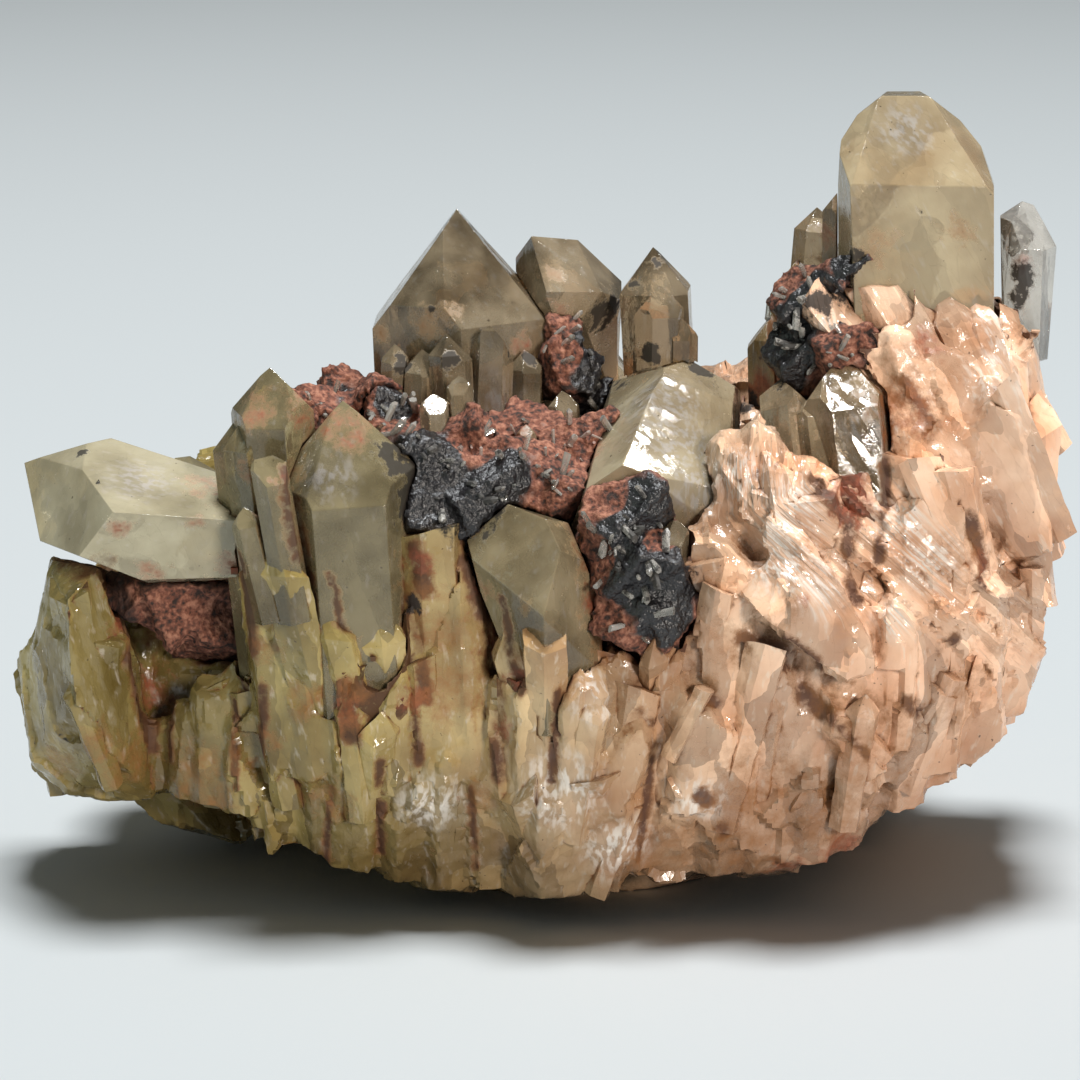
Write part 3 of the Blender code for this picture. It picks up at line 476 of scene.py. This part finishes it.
# The staining: water left iron in every crevice, red and orange by turns, and black specks on the
# faces. The pale spots are painted highlights, and the crevices and deep gaps also take painted shade.
# Each spot is where the picture shows it, as across, down and radius on the picture plane.
RED_SPOTS = (
    (165, 606, 44), (215, 590, 30), (122, 618, 22), (150, 690, 26), (120, 528, 12), (200, 486, 24),
    (196, 520, 10), (110, 590, 16), (150, 575, 20), (230, 560, 16), (256, 410, 24), (305, 408, 26),
    (330, 420, 22), (360, 415, 22), (275, 480, 10), (350, 440, 18), (246, 470, 14), (345, 712, 18),
    (420, 560, 16), (480, 590, 14), (497, 640, 14), (512, 680, 14), (500, 730, 14), (580, 450, 30),
    (560, 320, 22), (570, 350, 18), (715, 345, 24), (700, 320, 14), (825, 236, 18), (790, 275, 20),
    (1000, 255, 12), (1020, 262, 12), (805, 600, 8), (905, 410, 34), (925, 345, 22), (600, 560, 20),
    (596, 600, 16), (655, 540, 16), (415, 700, 20), (370, 372, 14), (352, 380, 14), (840, 850, 36),
    (900, 830, 30), (790, 870, 26), (975, 565, 20), (850, 500, 30), (520, 345, 14), (744, 392, 22),
    (760, 386, 16), (470, 455, 22), (520, 430, 20), (610, 500, 18),
)
ORANGE_SPOTS = (
    (445, 690, 40), (130, 770, 36), (100, 745, 26), (552, 272, 16), (525, 605, 12), (490, 590, 10),
    (858, 745, 40), (700, 690, 20), (420, 600, 26), (620, 720, 30), (350, 690, 24), (270, 640, 26),
    (300, 700, 24), (740, 850, 60), (640, 870, 40), (830, 700, 30), (790, 610, 18), (480, 800, 20),
    (600, 640, 16), (905, 400, 60), (965, 560, 40), (820, 560, 30), (330, 800, 30), (230, 760, 24),
    (800, 810, 70), (865, 795, 60), (885, 735, 50), (700, 850, 50), (760, 780, 60), (965, 700, 40),
    (200, 780, 44), (60, 765, 26), (445, 640, 26), (268, 740, 16), (350, 720, 16), (1000, 640, 26),
    (730, 640, 30), (380, 330, 14), (425, 325, 22), (455, 310, 16), (880, 250, 26), (960, 230, 20),
    (640, 350, 12),
)
BLACK_SPOTS = (
    (600, 362, 34), (596, 392, 22), (66, 740, 5), (82, 452, 8), (430, 308, 5), (510, 354, 6),
    (530, 359, 10), (658, 261, 8), (635, 283, 8), (650, 352, 14), (607, 310, 28), (430, 470, 44),
    (470, 500, 40), (395, 460, 26), (500, 470, 24), (640, 520, 34), (660, 580, 34), (625, 570, 28),
    (668, 620, 22), (420, 500, 30), (920, 212, 4), (989, 196, 4), (838, 213, 5), (1022, 276, 16),
    (790, 340, 28), (775, 365, 26), (820, 300, 24), (850, 262, 16), (700, 370, 18), (410, 605, 12),
    (450, 360, 12), (405, 365, 14), (580, 340, 14), (745, 405, 12), (1020, 295, 14), (350, 385, 12),
    (395, 400, 16), (60, 735, 4),
)
# Painted highlights: near-white spots where the faces glint
PAINTED_HIGHLIGHT_SPOTS = (
    (140, 480, 30), (330, 478, 22), (665, 400, 34), (675, 440, 34), (780, 560, 30), (830, 330, 14),
    (600, 700, 24), (1000, 330, 30), (890, 620, 18), (900, 520, 26), (430, 800, 26), (690, 490, 26),
    (785, 530, 34), (800, 500, 24), (820, 580, 30), (740, 480, 26), (620, 850, 30), (560, 790, 34),
    (500, 400, 26), (905, 130, 24), (1030, 250, 26), (870, 430, 26), (1010, 380, 34), (930, 560, 26),
    (700, 800, 22),
)

# Deep gaps with rust and painted shade in them, each from one place to another on the picture plane, and
# half its width
RUST_AND_SHADE_GAPS = (
    (104, 560, 122, 600, 15), (122, 600, 134, 660, 15), (134, 660, 150, 745, 14),
    (241, 560, 252, 650, 11), (286, 470, 290, 520, 9), (290, 520, 298, 562, 9), (262, 690, 262, 765, 9),
    (345, 690, 352, 735, 13), (405, 600, 418, 640, 9), (418, 640, 426, 700, 9), (416, 545, 424, 590, 12),
    (468, 560, 485, 620, 12), (485, 620, 493, 700, 12), (493, 700, 498, 775, 11), (410, 690, 418, 760, 8),
    (503, 600, 520, 690, 8), (818, 480, 846, 520, 12), (846, 520, 856, 600, 10), (970, 520, 985, 585, 11),
    (745, 640, 780, 652, 12), (800, 690, 832, 722, 12), (700, 694, 714, 702, 9), (700, 794, 706, 800, 10),
    (722, 828, 726, 834, 9), (905, 704, 922, 714, 11), (882, 400, 886, 500, 7), (886, 500, 878, 560, 7),
    (762, 622, 840, 678, 7), (905, 380, 932, 424, 9), (620, 690, 652, 722, 6), (836, 722, 880, 770, 6),
    (940, 652, 956, 640, 8), (330, 575, 345, 640, 6), (170, 700, 168, 760, 7), (236, 700, 234, 790, 6),
    (380, 760, 382, 850, 7), (330, 790, 326, 870, 6), (470, 790, 474, 870, 6), (556, 690, 552, 780, 6),
    (650, 760, 640, 860, 6),
)
CREVICE_REACH = 7.0 * MM
CREVICE_RAYS = 9


def spots_along(gaps):
    """Spots set close together along each gap."""
    found = []
    for across, down, to_across, to_down, radius in gaps:
        steps = 1 + int(math.hypot(to_across - across, to_down - down) / (0.7 * radius))
        for step in range(steps + 1):
            share = step / steps
            found.append((across + share * (to_across - across), down + share * (to_down - down), radius))
    return found


def spots_in_place(spots):
    """Each spot's place on the cluster and its radius."""
    found = []
    for across, down, radius in spots:
        place, _, _ = on_surface(across, down)
        if place is not None:
            found.append((np.array(place), radius * PICTURE_UNIT))
    return found


def amount_at(places, spots):
    """How strong the nearest spot is at each place, from 0 to 1."""
    amount = np.zeros(len(places))
    for centre, radius in spots:
        near = 1.5 - np.linalg.norm(places - centre, axis=1) / radius
        amount = np.maximum(amount, np.clip(near, 0.0, 1.0))
    return amount


def crevice_at(mesh, tree):
    """How closed in each corner of a mesh is: the share of rays that meet something near."""
    directions = []
    for number in range(CREVICE_RAYS):
        height = 1.0 - 1.6 * (number + 0.5) / CREVICE_RAYS
        turn = number * math.pi * (3.0 - math.sqrt(5.0))
        ring = math.sqrt(1.0 - height * height)
        directions.append(Vector((ring * math.cos(turn), ring * math.sin(turn), height)))
    closed = np.zeros(len(mesh.vertices))
    for index, (corner, normal) in enumerate(zip(mesh.vertices, mesh.vertex_normals)):
        outward = normal.vector
        start = corner.co + outward * 0.25 * MM
        for direction in directions:
            way = (direction + outward * 1.05).normalized()
            if tree.ray_cast(start, way, CREVICE_REACH)[0] is not None:
                closed[index] += 1.0 / CREVICE_RAYS
    return closed


def store(mesh, name, values):
    """Keep four values for each corner of a mesh as a colour attribute."""
    layer = mesh.color_attributes.new(name, "FLOAT_COLOR", "POINT")
    layer.data.foreach_set("color", values.astype(np.float32).ravel())


spot_kinds = [spots_in_place(spots) for spots in (RED_SPOTS, ORANGE_SPOTS, BLACK_SPOTS, PAINTED_HIGHLIGHT_SPOTS)]
gap_spots = spots_in_place(spots_along(RUST_AND_SHADE_GAPS))
grown_tree, _ = tree_of([piece.data for piece in pieces.values()])
for piece in pieces.values():
    mesh = piece.data
    places = np.zeros(len(mesh.vertices) * 3)
    mesh.vertices.foreach_get("co", places)
    places = places.reshape(-1, 3)
    # The first three stain channels are red, orange and black stains; the fourth is the painted highlight.
    store(mesh, "stain_and_highlight", np.stack([amount_at(places, spots) for spots in spot_kinds], axis=1))
    # The closed-in share of each corner paints rust and shade into its crevices and deep gaps.
    closed = np.maximum(crevice_at(mesh, grown_tree), amount_at(places, gap_spots))
    grain = np.array([grain_at(Vector(place), growth_way(Vector(place))) for place in places])
    store(mesh, "grain", np.concatenate([grain, closed[:, None]], axis=1))


# Milky quartz, grown in open space and stained by iron: glassy faces over a cloudy, light-scattering
# body. It gives a soft glow inside, sharp glints at the faces, rust with painted shade where dirt could
# settle, and painted highlights at the pale spots.
QUARTZ_IOR = 1.544
CLOUD_SIZE = 11.0 * MM
FIBRE_SIZE = 0.9 * MM
PATCH_SIZE = 2.6 * MM
SPECK_SIZE = 0.7 * MM
BEND_SIZE = 4.0 * MM
COOL_END = -34.0 * MM
WARM_END = 44.0 * MM
DARKENING_FROM = 42.0 * MM
DARKEST_BELOW = 10.0 * MM
ZONES_PER_METRE = (1.0 / (6.0 * MM), 1.0 / (6.0 * MM), 1.0 / (21.0 * MM))
FACES_PER_METRE = (1.0 / (1.5 * MM), 1.0 / (1.5 * MM), 1.0 / (7.0 * MM))


def linear(colour):
    """A colour written as sRGB hex, as linear values."""
    parts = [int(colour[start:start + 2], 16) / 255.0 for start in (1, 3, 5)]
    return [part / 12.92 if part <= 0.04045 else ((part + 0.055) / 1.055) ** 2.4 for part in parts] + [1.0]


def add(tree, kind, inputs=None, give=0, **settings):
    """Add a node with its settings, link or set its inputs, and give one of its outputs or the node."""
    new = tree.nodes.new(kind)
    for name, value in settings.items():
        setattr(new, name, value)
    for name, value in (inputs or {}).items():
        if isinstance(value, bpy.types.NodeSocket):
            tree.links.new(value, new.inputs[name])
        else:
            new.inputs[name].default_value = value
    return new if give is None else new.outputs[give]


def quartz(name, pale, deep, warm_pale, warm_deep, clear, zones, rust_and_shade, gloss, dirt=0.0):
    """Quartz from cloudy to clear, greenish at the left end of the cluster and pink at the right."""
    material = bpy.data.materials.new(name)
    material.use_nodes = True
    tree = material.node_tree
    shader = tree.nodes["Principled BSDF"]
    place = add(tree, "ShaderNodeTexCoord", give="Object")
    grain = add(tree, "ShaderNodeAttribute", attribute_name="grain", give="Vector")
    closed = add(tree, "ShaderNodeAttribute", attribute_name="grain", give="Alpha")
    stain_and_highlight = add(tree, "ShaderNodeAttribute", attribute_name="stain_and_highlight", give="Color")
    painted_highlight_spot = add(tree, "ShaderNodeAttribute", attribute_name="stain_and_highlight", give="Alpha")
    parts = add(tree, "ShaderNodeSeparateColor", {"Color": stain_and_highlight}, give=None)

    # Clouds of bubbles a few millimetres wide, fibres along the growth, and patches of dirt
    cloud = add(tree, "ShaderNodeTexNoise", {"Vector": place, "Scale": 1.0 / CLOUD_SIZE, "Detail": 3.0})
    drawn = add(tree, "ShaderNodeVectorMath", {0: grain, 1: (1.0, 1.0, 0.3)}, operation="MULTIPLY")
    fibre = add(tree, "ShaderNodeTexNoise", {"Vector": drawn, "Scale": 1.0 / FIBRE_SIZE, "Detail": 2.0})
    patch = add(tree, "ShaderNodeTexNoise", {"Vector": place, "Scale": 1.0 / PATCH_SIZE, "Detail": 4.0,
                                             "Roughness": 0.7})
    speck = add(tree, "ShaderNodeTexNoise", {"Vector": place, "Scale": 1.0 / SPECK_SIZE, "Detail": 1.0})
    end = add(tree, "ShaderNodeSeparateXYZ", {0: place}, give="X")
    warm = add(tree, "ShaderNodeMapRange", {"Value": end, "From Min": COOL_END, "From Max": WARM_END},
               interpolation_type="SMOOTHSTEP")
    cloudy = add(tree, "ShaderNodeMapRange", {"Value": cloud, "From Min": 0.28, "From Max": 0.72})
    cool = add(tree, "ShaderNodeMix", {0: cloudy, 6: linear(deep), 7: linear(pale)}, 2, data_type="RGBA")
    rosy = add(tree, "ShaderNodeMix", {0: cloudy, 6: linear(warm_deep), 7: linear(warm_pale)}, 2,
               data_type="RGBA")
    body = add(tree, "ShaderNodeMix", {0: warm, 6: cool, 7: rosy}, 2, data_type="RGBA")

    # Zones that cleared or clouded as they grew, 6 by 21 mm, each with a tone of its own
    wide = add(tree, "ShaderNodeVectorMath", {0: grain, 1: ZONES_PER_METRE}, operation="MULTIPLY")
    bent = add(tree, "ShaderNodeTexNoise", {"Vector": place, "Scale": 1.0 / BEND_SIZE, "Detail": 2.0},
               give="Color")
    wide = add(tree, "ShaderNodeVectorMath", {0: bent, 1: (0.4, 0.4, 0.25), 2: wide},
               operation="MULTIPLY_ADD")
    each = add(tree, "ShaderNodeTexVoronoi", {"Vector": wide, "Scale": 1.0}, give="Color")
    each = add(tree, "ShaderNodeSeparateColor", {"Color": each}, give=None)
    glassy = add(tree, "ShaderNodeMapRange", {"Value": each.outputs[1], "From Min": 0.52, "From Max": 0.72,
                                              "To Max": zones})
    bloom = add(tree, "ShaderNodeMapRange", {"Value": each.outputs[1], "From Min": 0.34, "From Max": 0.2,
                                             "To Max": 0.5 * zones})
    tone = add(tree, "ShaderNodeMapRange", {"Value": each.outputs[0], "To Min": 1.0 - 0.25 * zones,
                                            "To Max": 1.0 + 0.2 * zones})
    tone = add(tree, "ShaderNodeMath", {0: glassy, 1: -0.34, 2: tone}, operation="MULTIPLY_ADD")
    tone = add(tree, "ShaderNodeMath", {0: bloom, 1: 0.7, 2: tone}, operation="MULTIPLY_ADD")
    body = add(tree, "ShaderNodeVectorMath", {0: body, "Scale": tone}, operation="SCALE")
    streak = add(tree, "ShaderNodeMapRange", {"Value": fibre, "From Min": 0.6, "From Max": 0.74,
                                              "To Max": 0.4})
    body = add(tree, "ShaderNodeMix", {0: streak, 6: body, 7: linear("#EFE3D2")}, 2, data_type="RGBA")
    # Darker and browner towards the bottom, from 42 mm down to 10 mm
    above = add(tree, "ShaderNodeSeparateXYZ", {"Vector": place}, "Z")
    low = add(tree, "ShaderNodeMapRange", {"Value": above, "From Min": DARKENING_FROM,
                                           "From Max": DARKEST_BELOW, "To Max": 0.5})
    body = add(tree, "ShaderNodeMix", {0: low, 6: body, 7: linear("#4A2C14")}, 2, data_type="RGBA")
    # Painted highlight: near-white, streaked along the fibres, where the pale spots lie
    painted_highlight = add(tree, "ShaderNodeMapRange", {"Value": fibre, "From Min": 0.46, "From Max": 0.6,
                                             "To Min": 0.12, "To Max": 0.8})
    painted_highlight = add(tree, "ShaderNodeMath", {0: painted_highlight_spot, 1: painted_highlight}, operation="MULTIPLY")
    body = add(tree, "ShaderNodeMix", {0: painted_highlight, 6: body, 7: linear("#F3EAE0")}, 2, data_type="RGBA")

    # Rust and painted shade in the crevices, darker the more closed in, then orange, red and black where
    # they settled
    rough_patch = add(tree, "ShaderNodeMapRange", {"Value": patch, "From Min": 0.3, "From Max": 0.7,
                                                   "To Min": -0.5, "To Max": 0.5})
    rust_and_shade_amount = add(tree, "ShaderNodeMath", {0: closed, 1: 1.5 * rust_and_shade, 2: rough_patch},
                 operation="MULTIPLY_ADD")
    rust_and_shade_amount = add(tree, "ShaderNodeMapRange", {"Value": rust_and_shade_amount, "From Min": 0.5, "From Max": 1.3,
                                              "To Max": 0.92})
    # Painted shade: the rust goes from orange to deep brown the more closed in a place is.
    rust_and_shade_colour = add(tree, "ShaderNodeMix", {0: closed, 6: linear("#A8703A"), 7: linear("#4A2410")}, 2,
                data_type="RGBA")
    body = add(tree, "ShaderNodeMix", {0: rust_and_shade_amount, 6: body, 7: rust_and_shade_colour}, 2, data_type="RGBA")
    red = add(tree, "ShaderNodeMix", {0: speck, 6: linear("#5E2416"), 7: linear("#B8603E")}, 2,
              data_type="RGBA")
    dull = rust_and_shade_amount
    for number, (colour, start, width, most) in enumerate((
            (red, 0.5 - dirt, 0.8, 0.85), (linear("#95602F"), 0.5, 1.0, 0.8),
            (linear("#1B1715"), 0.5 - dirt, 0.3, 0.94))):
        amount = add(tree, "ShaderNodeMath", {0: parts.outputs[number], 1: 0.95, 2: rough_patch},
                     operation="MULTIPLY_ADD")
        amount = add(tree, "ShaderNodeMapRange", {"Value": amount, "From Min": start,
                                                  "From Max": start + width, "To Max": most})
        body = add(tree, "ShaderNodeMix", {0: amount, 6: body, 7: colour}, 2, data_type="RGBA")
        dull = add(tree, "ShaderNodeMath", {0: dull, 1: amount}, operation="MAXIMUM")
    dust = add(tree, "ShaderNodeMapRange", {"Value": speck, "From Min": 0.76, "From Max": 0.8,
                                            "To Max": 0.7})
    body = add(tree, "ShaderNodeMix", {0: dust, 6: body, 7: linear("#3A2618")}, 2, data_type="RGBA")
    tree.links.new(body, shader.inputs["Base Color"])

    # Clean faces are glassy; dirt is dull and lets no light in
    smudge = add(tree, "ShaderNodeMapRange", {"Value": patch, "From Min": 0.45, "From Max": 0.75,
                                              "To Min": gloss, "To Max": gloss + 0.25})
    rough = add(tree, "ShaderNodeMix", {0: dull, 2: smudge, 3: 0.75})
    tree.links.new(rough, shader.inputs["Roughness"])
    open_share = add(tree, "ShaderNodeMath", {0: 1.0, 1: dull}, operation="SUBTRACT", use_clamp=True)
    window = add(tree, "ShaderNodeMapRange", {"Value": cloud, "From Min": 0.4, "From Max": 0.6,
                                              "To Min": clear, "To Max": 0.8 * clear})
    window = add(tree, "ShaderNodeMath", {0: glassy, 1: 0.3, 2: window}, operation="MULTIPLY_ADD",
                 use_clamp=True)
    passed = add(tree, "ShaderNodeMath", {0: window, 1: open_share}, operation="MULTIPLY")
    tree.links.new(passed, shader.inputs["Transmission Weight"])

    # Small broken faces, 1.5 by 7 mm, each tilted its own way, with fibres and pits on them
    cell = add(tree, "ShaderNodeVectorMath", {0: grain, 1: FACES_PER_METRE}, operation="MULTIPLY")
    seeds = add(tree, "ShaderNodeTexVoronoi", {"Vector": cell, "Scale": 1.0}, give=None)
    tilt = add(tree, "ShaderNodeVectorMath", {0: seeds.outputs["Color"], 1: (0.5, 0.5, 0.5)},
               operation="SUBTRACT")
    away = add(tree, "ShaderNodeVectorMath", {0: cell, 1: seeds.outputs["Position"]}, operation="SUBTRACT")
    facet = add(tree, "ShaderNodeVectorMath", {0: tilt, 1: away}, give="Value", operation="DOT_PRODUCT")
    glitter = add(tree, "ShaderNodeMath", {0: painted_highlight_spot, 1: 0.4, 2: 0.04 + 0.9 * zones}, operation="MULTIPLY_ADD")
    height = add(tree, "ShaderNodeMath", {0: facet, 1: glitter}, operation="MULTIPLY")
    for relief, amount in ((fibre, 0.02 + 0.1 * zones), (patch, 0.05 + 0.2 * zones)):
        height = add(tree, "ShaderNodeMath", {0: relief, 1: amount, 2: height}, operation="MULTIPLY_ADD")
    bump = add(tree, "ShaderNodeBump", {"Height": height, "Distance": MM, "Strength": 1.0})
    tree.links.new(bump, shader.inputs["Normal"])

    shader.inputs["IOR"].default_value = QUARTZ_IOR
    return material


def finish_with(piece, material):
    """Give a piece one material."""
    piece.data.materials.clear()
    piece.data.materials.append(material)


stained = quartz("iron-stained milky quartz, broken", "#C2AE70", "#7C6834", "#FDD8BA", "#D49C76",
                 clear=0.0, zones=0.5, rust_and_shade=1.0, gloss=0.08)
milky = quartz("milky quartz, grown", "#CDBE94", "#B4A276", "#E2C8A4", "#C6A880",
               clear=0.75, zones=0.1, rust_and_shade=0.9, gloss=0.04)
pale = quartz("pale milky quartz, grown", "#E8DEBE", "#D2C49E", "#E8D6B0", "#D2B68E",
              clear=0.6, zones=0.1, rust_and_shade=0.6, gloss=0.05)
PALE_NODES = ("right_tall_point", "bright_point", "wing_point")
for name in ("mass_skin", "fused_columns"):
    finish_with(pieces[name], stained)
for name in MILKY_NODES:
    finish_with(pieces[name], pale if name in PALE_NODES else milky)


# Smoky and clear quartz: the same crystal with few bubbles in it, so that one looks through the faces
# at the rust and the fractures behind. Its colour comes from the depth of crystal the light crosses.
SMOKE_PER_METRE = 55.0
CLEAR_PER_METRE = 6.0


def tinted_through(material, colour, per_metre):
    """Let a clear material take colour with depth."""
    tree = material.node_tree
    haze = add(tree, "ShaderNodeVolumeAbsorption", {"Color": linear(colour), "Density": per_metre})
    tree.links.new(haze, tree.nodes["Material Output"].inputs["Volume"])


smoky = quartz("smoky quartz, grown", "#DCC9A8", "#C2A880", "#DCC8A8", "#C4A882",
               clear=0.85, zones=0.08, rust_and_shade=0.4, gloss=0.03)
clear = quartz("clear quartz, grown", "#F4F0E8", "#E4DDD0", "#F4F0E8", "#E6DED2",
               clear=0.8, zones=0.1, rust_and_shade=0.2, gloss=0.04)
tinted_through(smoky, "#A87C48", SMOKE_PER_METRE)
tinted_through(clear, "#E2DCCB", CLEAR_PER_METRE)
for name in SMOKY_NODES + ["second_back_point", "third_back_points"]:
    finish_with(pieces[name], smoky)
for name in CLEAR_NODES + ["druse"]:
    finish_with(pieces[name], clear)
coated = quartz("milky quartz with a black coat", "#9A855A", "#5A4626", "#9E8560", "#5E4A2C",
                clear=0.0, zones=0.3, rust_and_shade=1.6, gloss=0.2, dirt=0.25)
finish_with(pieces["dark_coated_points"], coated)


# A healed crack: a film of tiny bubbles and air in the crystal, which mirrors light like silver. The
# film is broken into islands, with clear crystal between them.
BUBBLE_SIZE = 1.1 * MM
FILM_IOR = 1.2

crack = bpy.data.materials.new("healed crack in quartz")
crack.use_nodes = True
tree = crack.node_tree
shader = tree.nodes["Principled BSDF"]
place = add(tree, "ShaderNodeTexCoord", give="Object")
bubbles = add(tree, "ShaderNodeTexNoise", {"Vector": place, "Scale": 1.0 / BUBBLE_SIZE, "Detail": 3.0})
gap = add(tree, "ShaderNodeMapRange", {"Value": bubbles, "From Min": 0.42, "From Max": 0.6, "To Min": 0.95,
                                       "To Max": 0.25})
tree.links.new(gap, shader.inputs["Transmission Weight"])
shader.inputs["Base Color"].default_value = linear("#F5F0E8")
shader.inputs["Roughness"].default_value = 0.22
shader.inputs["IOR"].default_value = FILM_IOR
finish_with(veils, crack)


# Iron oxide crust: hematite as brick-red earth, with black manganese oxide over it in half-glossy
# knobs. The earth is quite dull; the black glints where a knob faces the light.
OXIDE_IOR = 1.6
OXIDE_PATCH = 3.2 * MM
OXIDE_GRIT = 0.8 * MM
OXIDE_RELIEF = 0.7 * MM


def oxide_crust(name):
    """Red earth with black over it: black where a black spot lies, and red where a red one does."""
    material = bpy.data.materials.new(name)
    material.use_nodes = True
    tree = material.node_tree
    shader = tree.nodes["Principled BSDF"]
    place = add(tree, "ShaderNodeTexCoord", give="Object")
    stain_and_highlight = add(tree, "ShaderNodeAttribute", attribute_name="stain_and_highlight", give="Color")
    closed = add(tree, "ShaderNodeAttribute", attribute_name="grain", give="Alpha")
    parts = add(tree, "ShaderNodeSeparateColor", {"Color": stain_and_highlight}, give=None)
    patch = add(tree, "ShaderNodeTexNoise", {"Vector": place, "Scale": 1.0 / OXIDE_PATCH, "Detail": 4.0})
    grit = add(tree, "ShaderNodeTexNoise", {"Vector": place, "Scale": 1.0 / OXIDE_GRIT, "Detail": 3.0})
    blend = add(tree, "ShaderNodeMix", {0: 0.45, 2: grit, 3: patch})
    earth = add(tree, "ShaderNodeValToRGB", {"Fac": blend}, give=None)
    earth.color_ramp.elements[0].position = 0.38
    earth.color_ramp.elements[0].color = linear("#2E1D16")
    earth.color_ramp.elements[1].position = 0.64
    earth.color_ramp.elements[1].color = linear("#AC765E")
    middle = earth.color_ramp.elements.new(0.5)
    middle.color = linear("#784634")
    black = add(tree, "ShaderNodeMix", {0: grit, 6: linear("#0B0A0B"), 7: linear("#2C2A2D")}, 2,
                data_type="RGBA")
    lean = add(tree, "ShaderNodeMath", {0: parts.outputs[2], 1: parts.outputs[0]}, operation="SUBTRACT")
    covered = add(tree, "ShaderNodeMath", {0: patch, 1: lean}, operation="ADD")
    covered = add(tree, "ShaderNodeMapRange", {"Value": covered, "From Min": 0.62, "From Max": 0.78})
    body = add(tree, "ShaderNodeMix", {0: covered, 6: earth.outputs["Color"], 7: black}, 2,
               data_type="RGBA")
    # Painted shade: the crust darkens to near black where it is closed in.
    gap = add(tree, "ShaderNodeMapRange", {"Value": closed, "From Min": 0.45, "From Max": 1.0,
                                           "To Max": 0.8})
    body = add(tree, "ShaderNodeMix", {0: gap, 6: body, 7: linear("#150B07")}, 2, data_type="RGBA")
    tree.links.new(body, shader.inputs["Base Color"])
    rough = add(tree, "ShaderNodeMix", {0: covered, 2: 0.85, 3: 0.34})
    tree.links.new(rough, shader.inputs["Roughness"])
    height = add(tree, "ShaderNodeMath", {0: grit, 1: 0.6, 2: patch}, operation="MULTIPLY_ADD")
    bump = add(tree, "ShaderNodeBump", {"Height": height, "Distance": OXIDE_RELIEF, "Strength": 0.9})
    tree.links.new(bump, shader.inputs["Normal"])
    shader.inputs["IOR"].default_value = OXIDE_IOR
    return material


crust = oxide_crust("red and black iron oxide, settled")
for name in CRUST_NODES:
    finish_with(pieces[name], crust)


# The stage: a pale seamless floor under a soft light overhead. A lamp behind at the right, a warm one at
# the front and a weak greenish one at the left light the cluster alone, so that its shadow stays short.
FLOOR_SIZE = 3.0
ROOF_SIZE = 0.5
CLUSTER_MIDDLE = Vector((0.0, 0.0, 60.0 * MM))


def lit_by(name, lamp, strength, colour, way):
    """Hang a lamp at a place and aim it at the cluster; for a sun the place gives only its direction."""
    lamp.energy = strength
    lamp.color = linear(colour)[:3]
    holder = bpy.data.objects.new(name, lamp)
    holder.location = way
    holder.rotation_euler = (Vector(way) - CLUSTER_MIDDLE).to_track_quat("Z", "Y").to_euler()
    bpy.context.scene.collection.objects.link(holder)
    return holder


bm = bmesh.new()
bmesh.ops.create_grid(bm, x_segments=1, y_segments=1, size=FLOOR_SIZE)
floor = piece_of(bm, "floor", False)
paper = bpy.data.materials.new("pale paper")
paper.use_nodes = True
paper.node_tree.nodes["Principled BSDF"].inputs["Base Color"].default_value = linear("#DADEDF")
paper.node_tree.nodes["Principled BSDF"].inputs["Roughness"].default_value = 0.7
finish_with(floor, paper)

all_but_floor = bpy.data.collections.new("all but the floor")
all_but_floor.objects.link(floor)
all_but_floor.collection_objects[0].light_linking.link_state = "EXCLUDE"
roof = bpy.data.lights.new("roof of the tent", "AREA")
roof.size = ROOF_SIZE
lit_by("roof of the tent", roof, 50.0, "#FAFDFF", (0.1, 0.0, 2.2))
for name, way, strength, spread, colour in (
        ("lamp behind at the right", (0.55, 0.28, 0.85), 0.85, 8.0, "#FFFFFF"),
        ("lamp at the front", (0.48, -0.82, 0.42), 2.0, 12.0, "#FFF6EC"),
        ("window at the left", (-0.85, -0.45, 0.4), 0.4, 40.0, "#DDF2E2")):
    lamp = bpy.data.lights.new(name, "SUN")
    lamp.angle = math.radians(spread)
    holder = lit_by(name, lamp, strength, colour, way)
    holder.light_linking.receiver_collection = all_but_floor
world = bpy.data.worlds.new("tent")
world.use_nodes = True
world.node_tree.nodes["Background"].inputs["Color"].default_value = linear("#DCE4E2")
world.node_tree.nodes["Background"].inputs["Strength"].default_value = 0.14
bpy.context.scene.world = world
bpy.context.scene.view_settings.view_transform = "Standard"
light_paths = bpy.context.scene.cycles
light_paths.max_bounces = 6
light_paths.diffuse_bounces = 2
light_paths.glossy_bounces = 2
light_paths.transmission_bounces = 5
light_paths.caustics_reflective = False
light_paths.caustics_refractive = False

# The camera stands where the picture was taken: a long lens, a little above the cluster
camera = bpy.data.objects.new("camera", bpy.data.cameras.new("camera"))
camera.data.sensor_width = 36.0
camera.data.lens = 120.0
camera.location = EYE
camera.rotation_euler = (math.radians(90.0) - SIGHT_TILT, 0.0, 0.0)
bpy.context.scene.collection.objects.link(camera)
bpy.context.scene.camera = camera
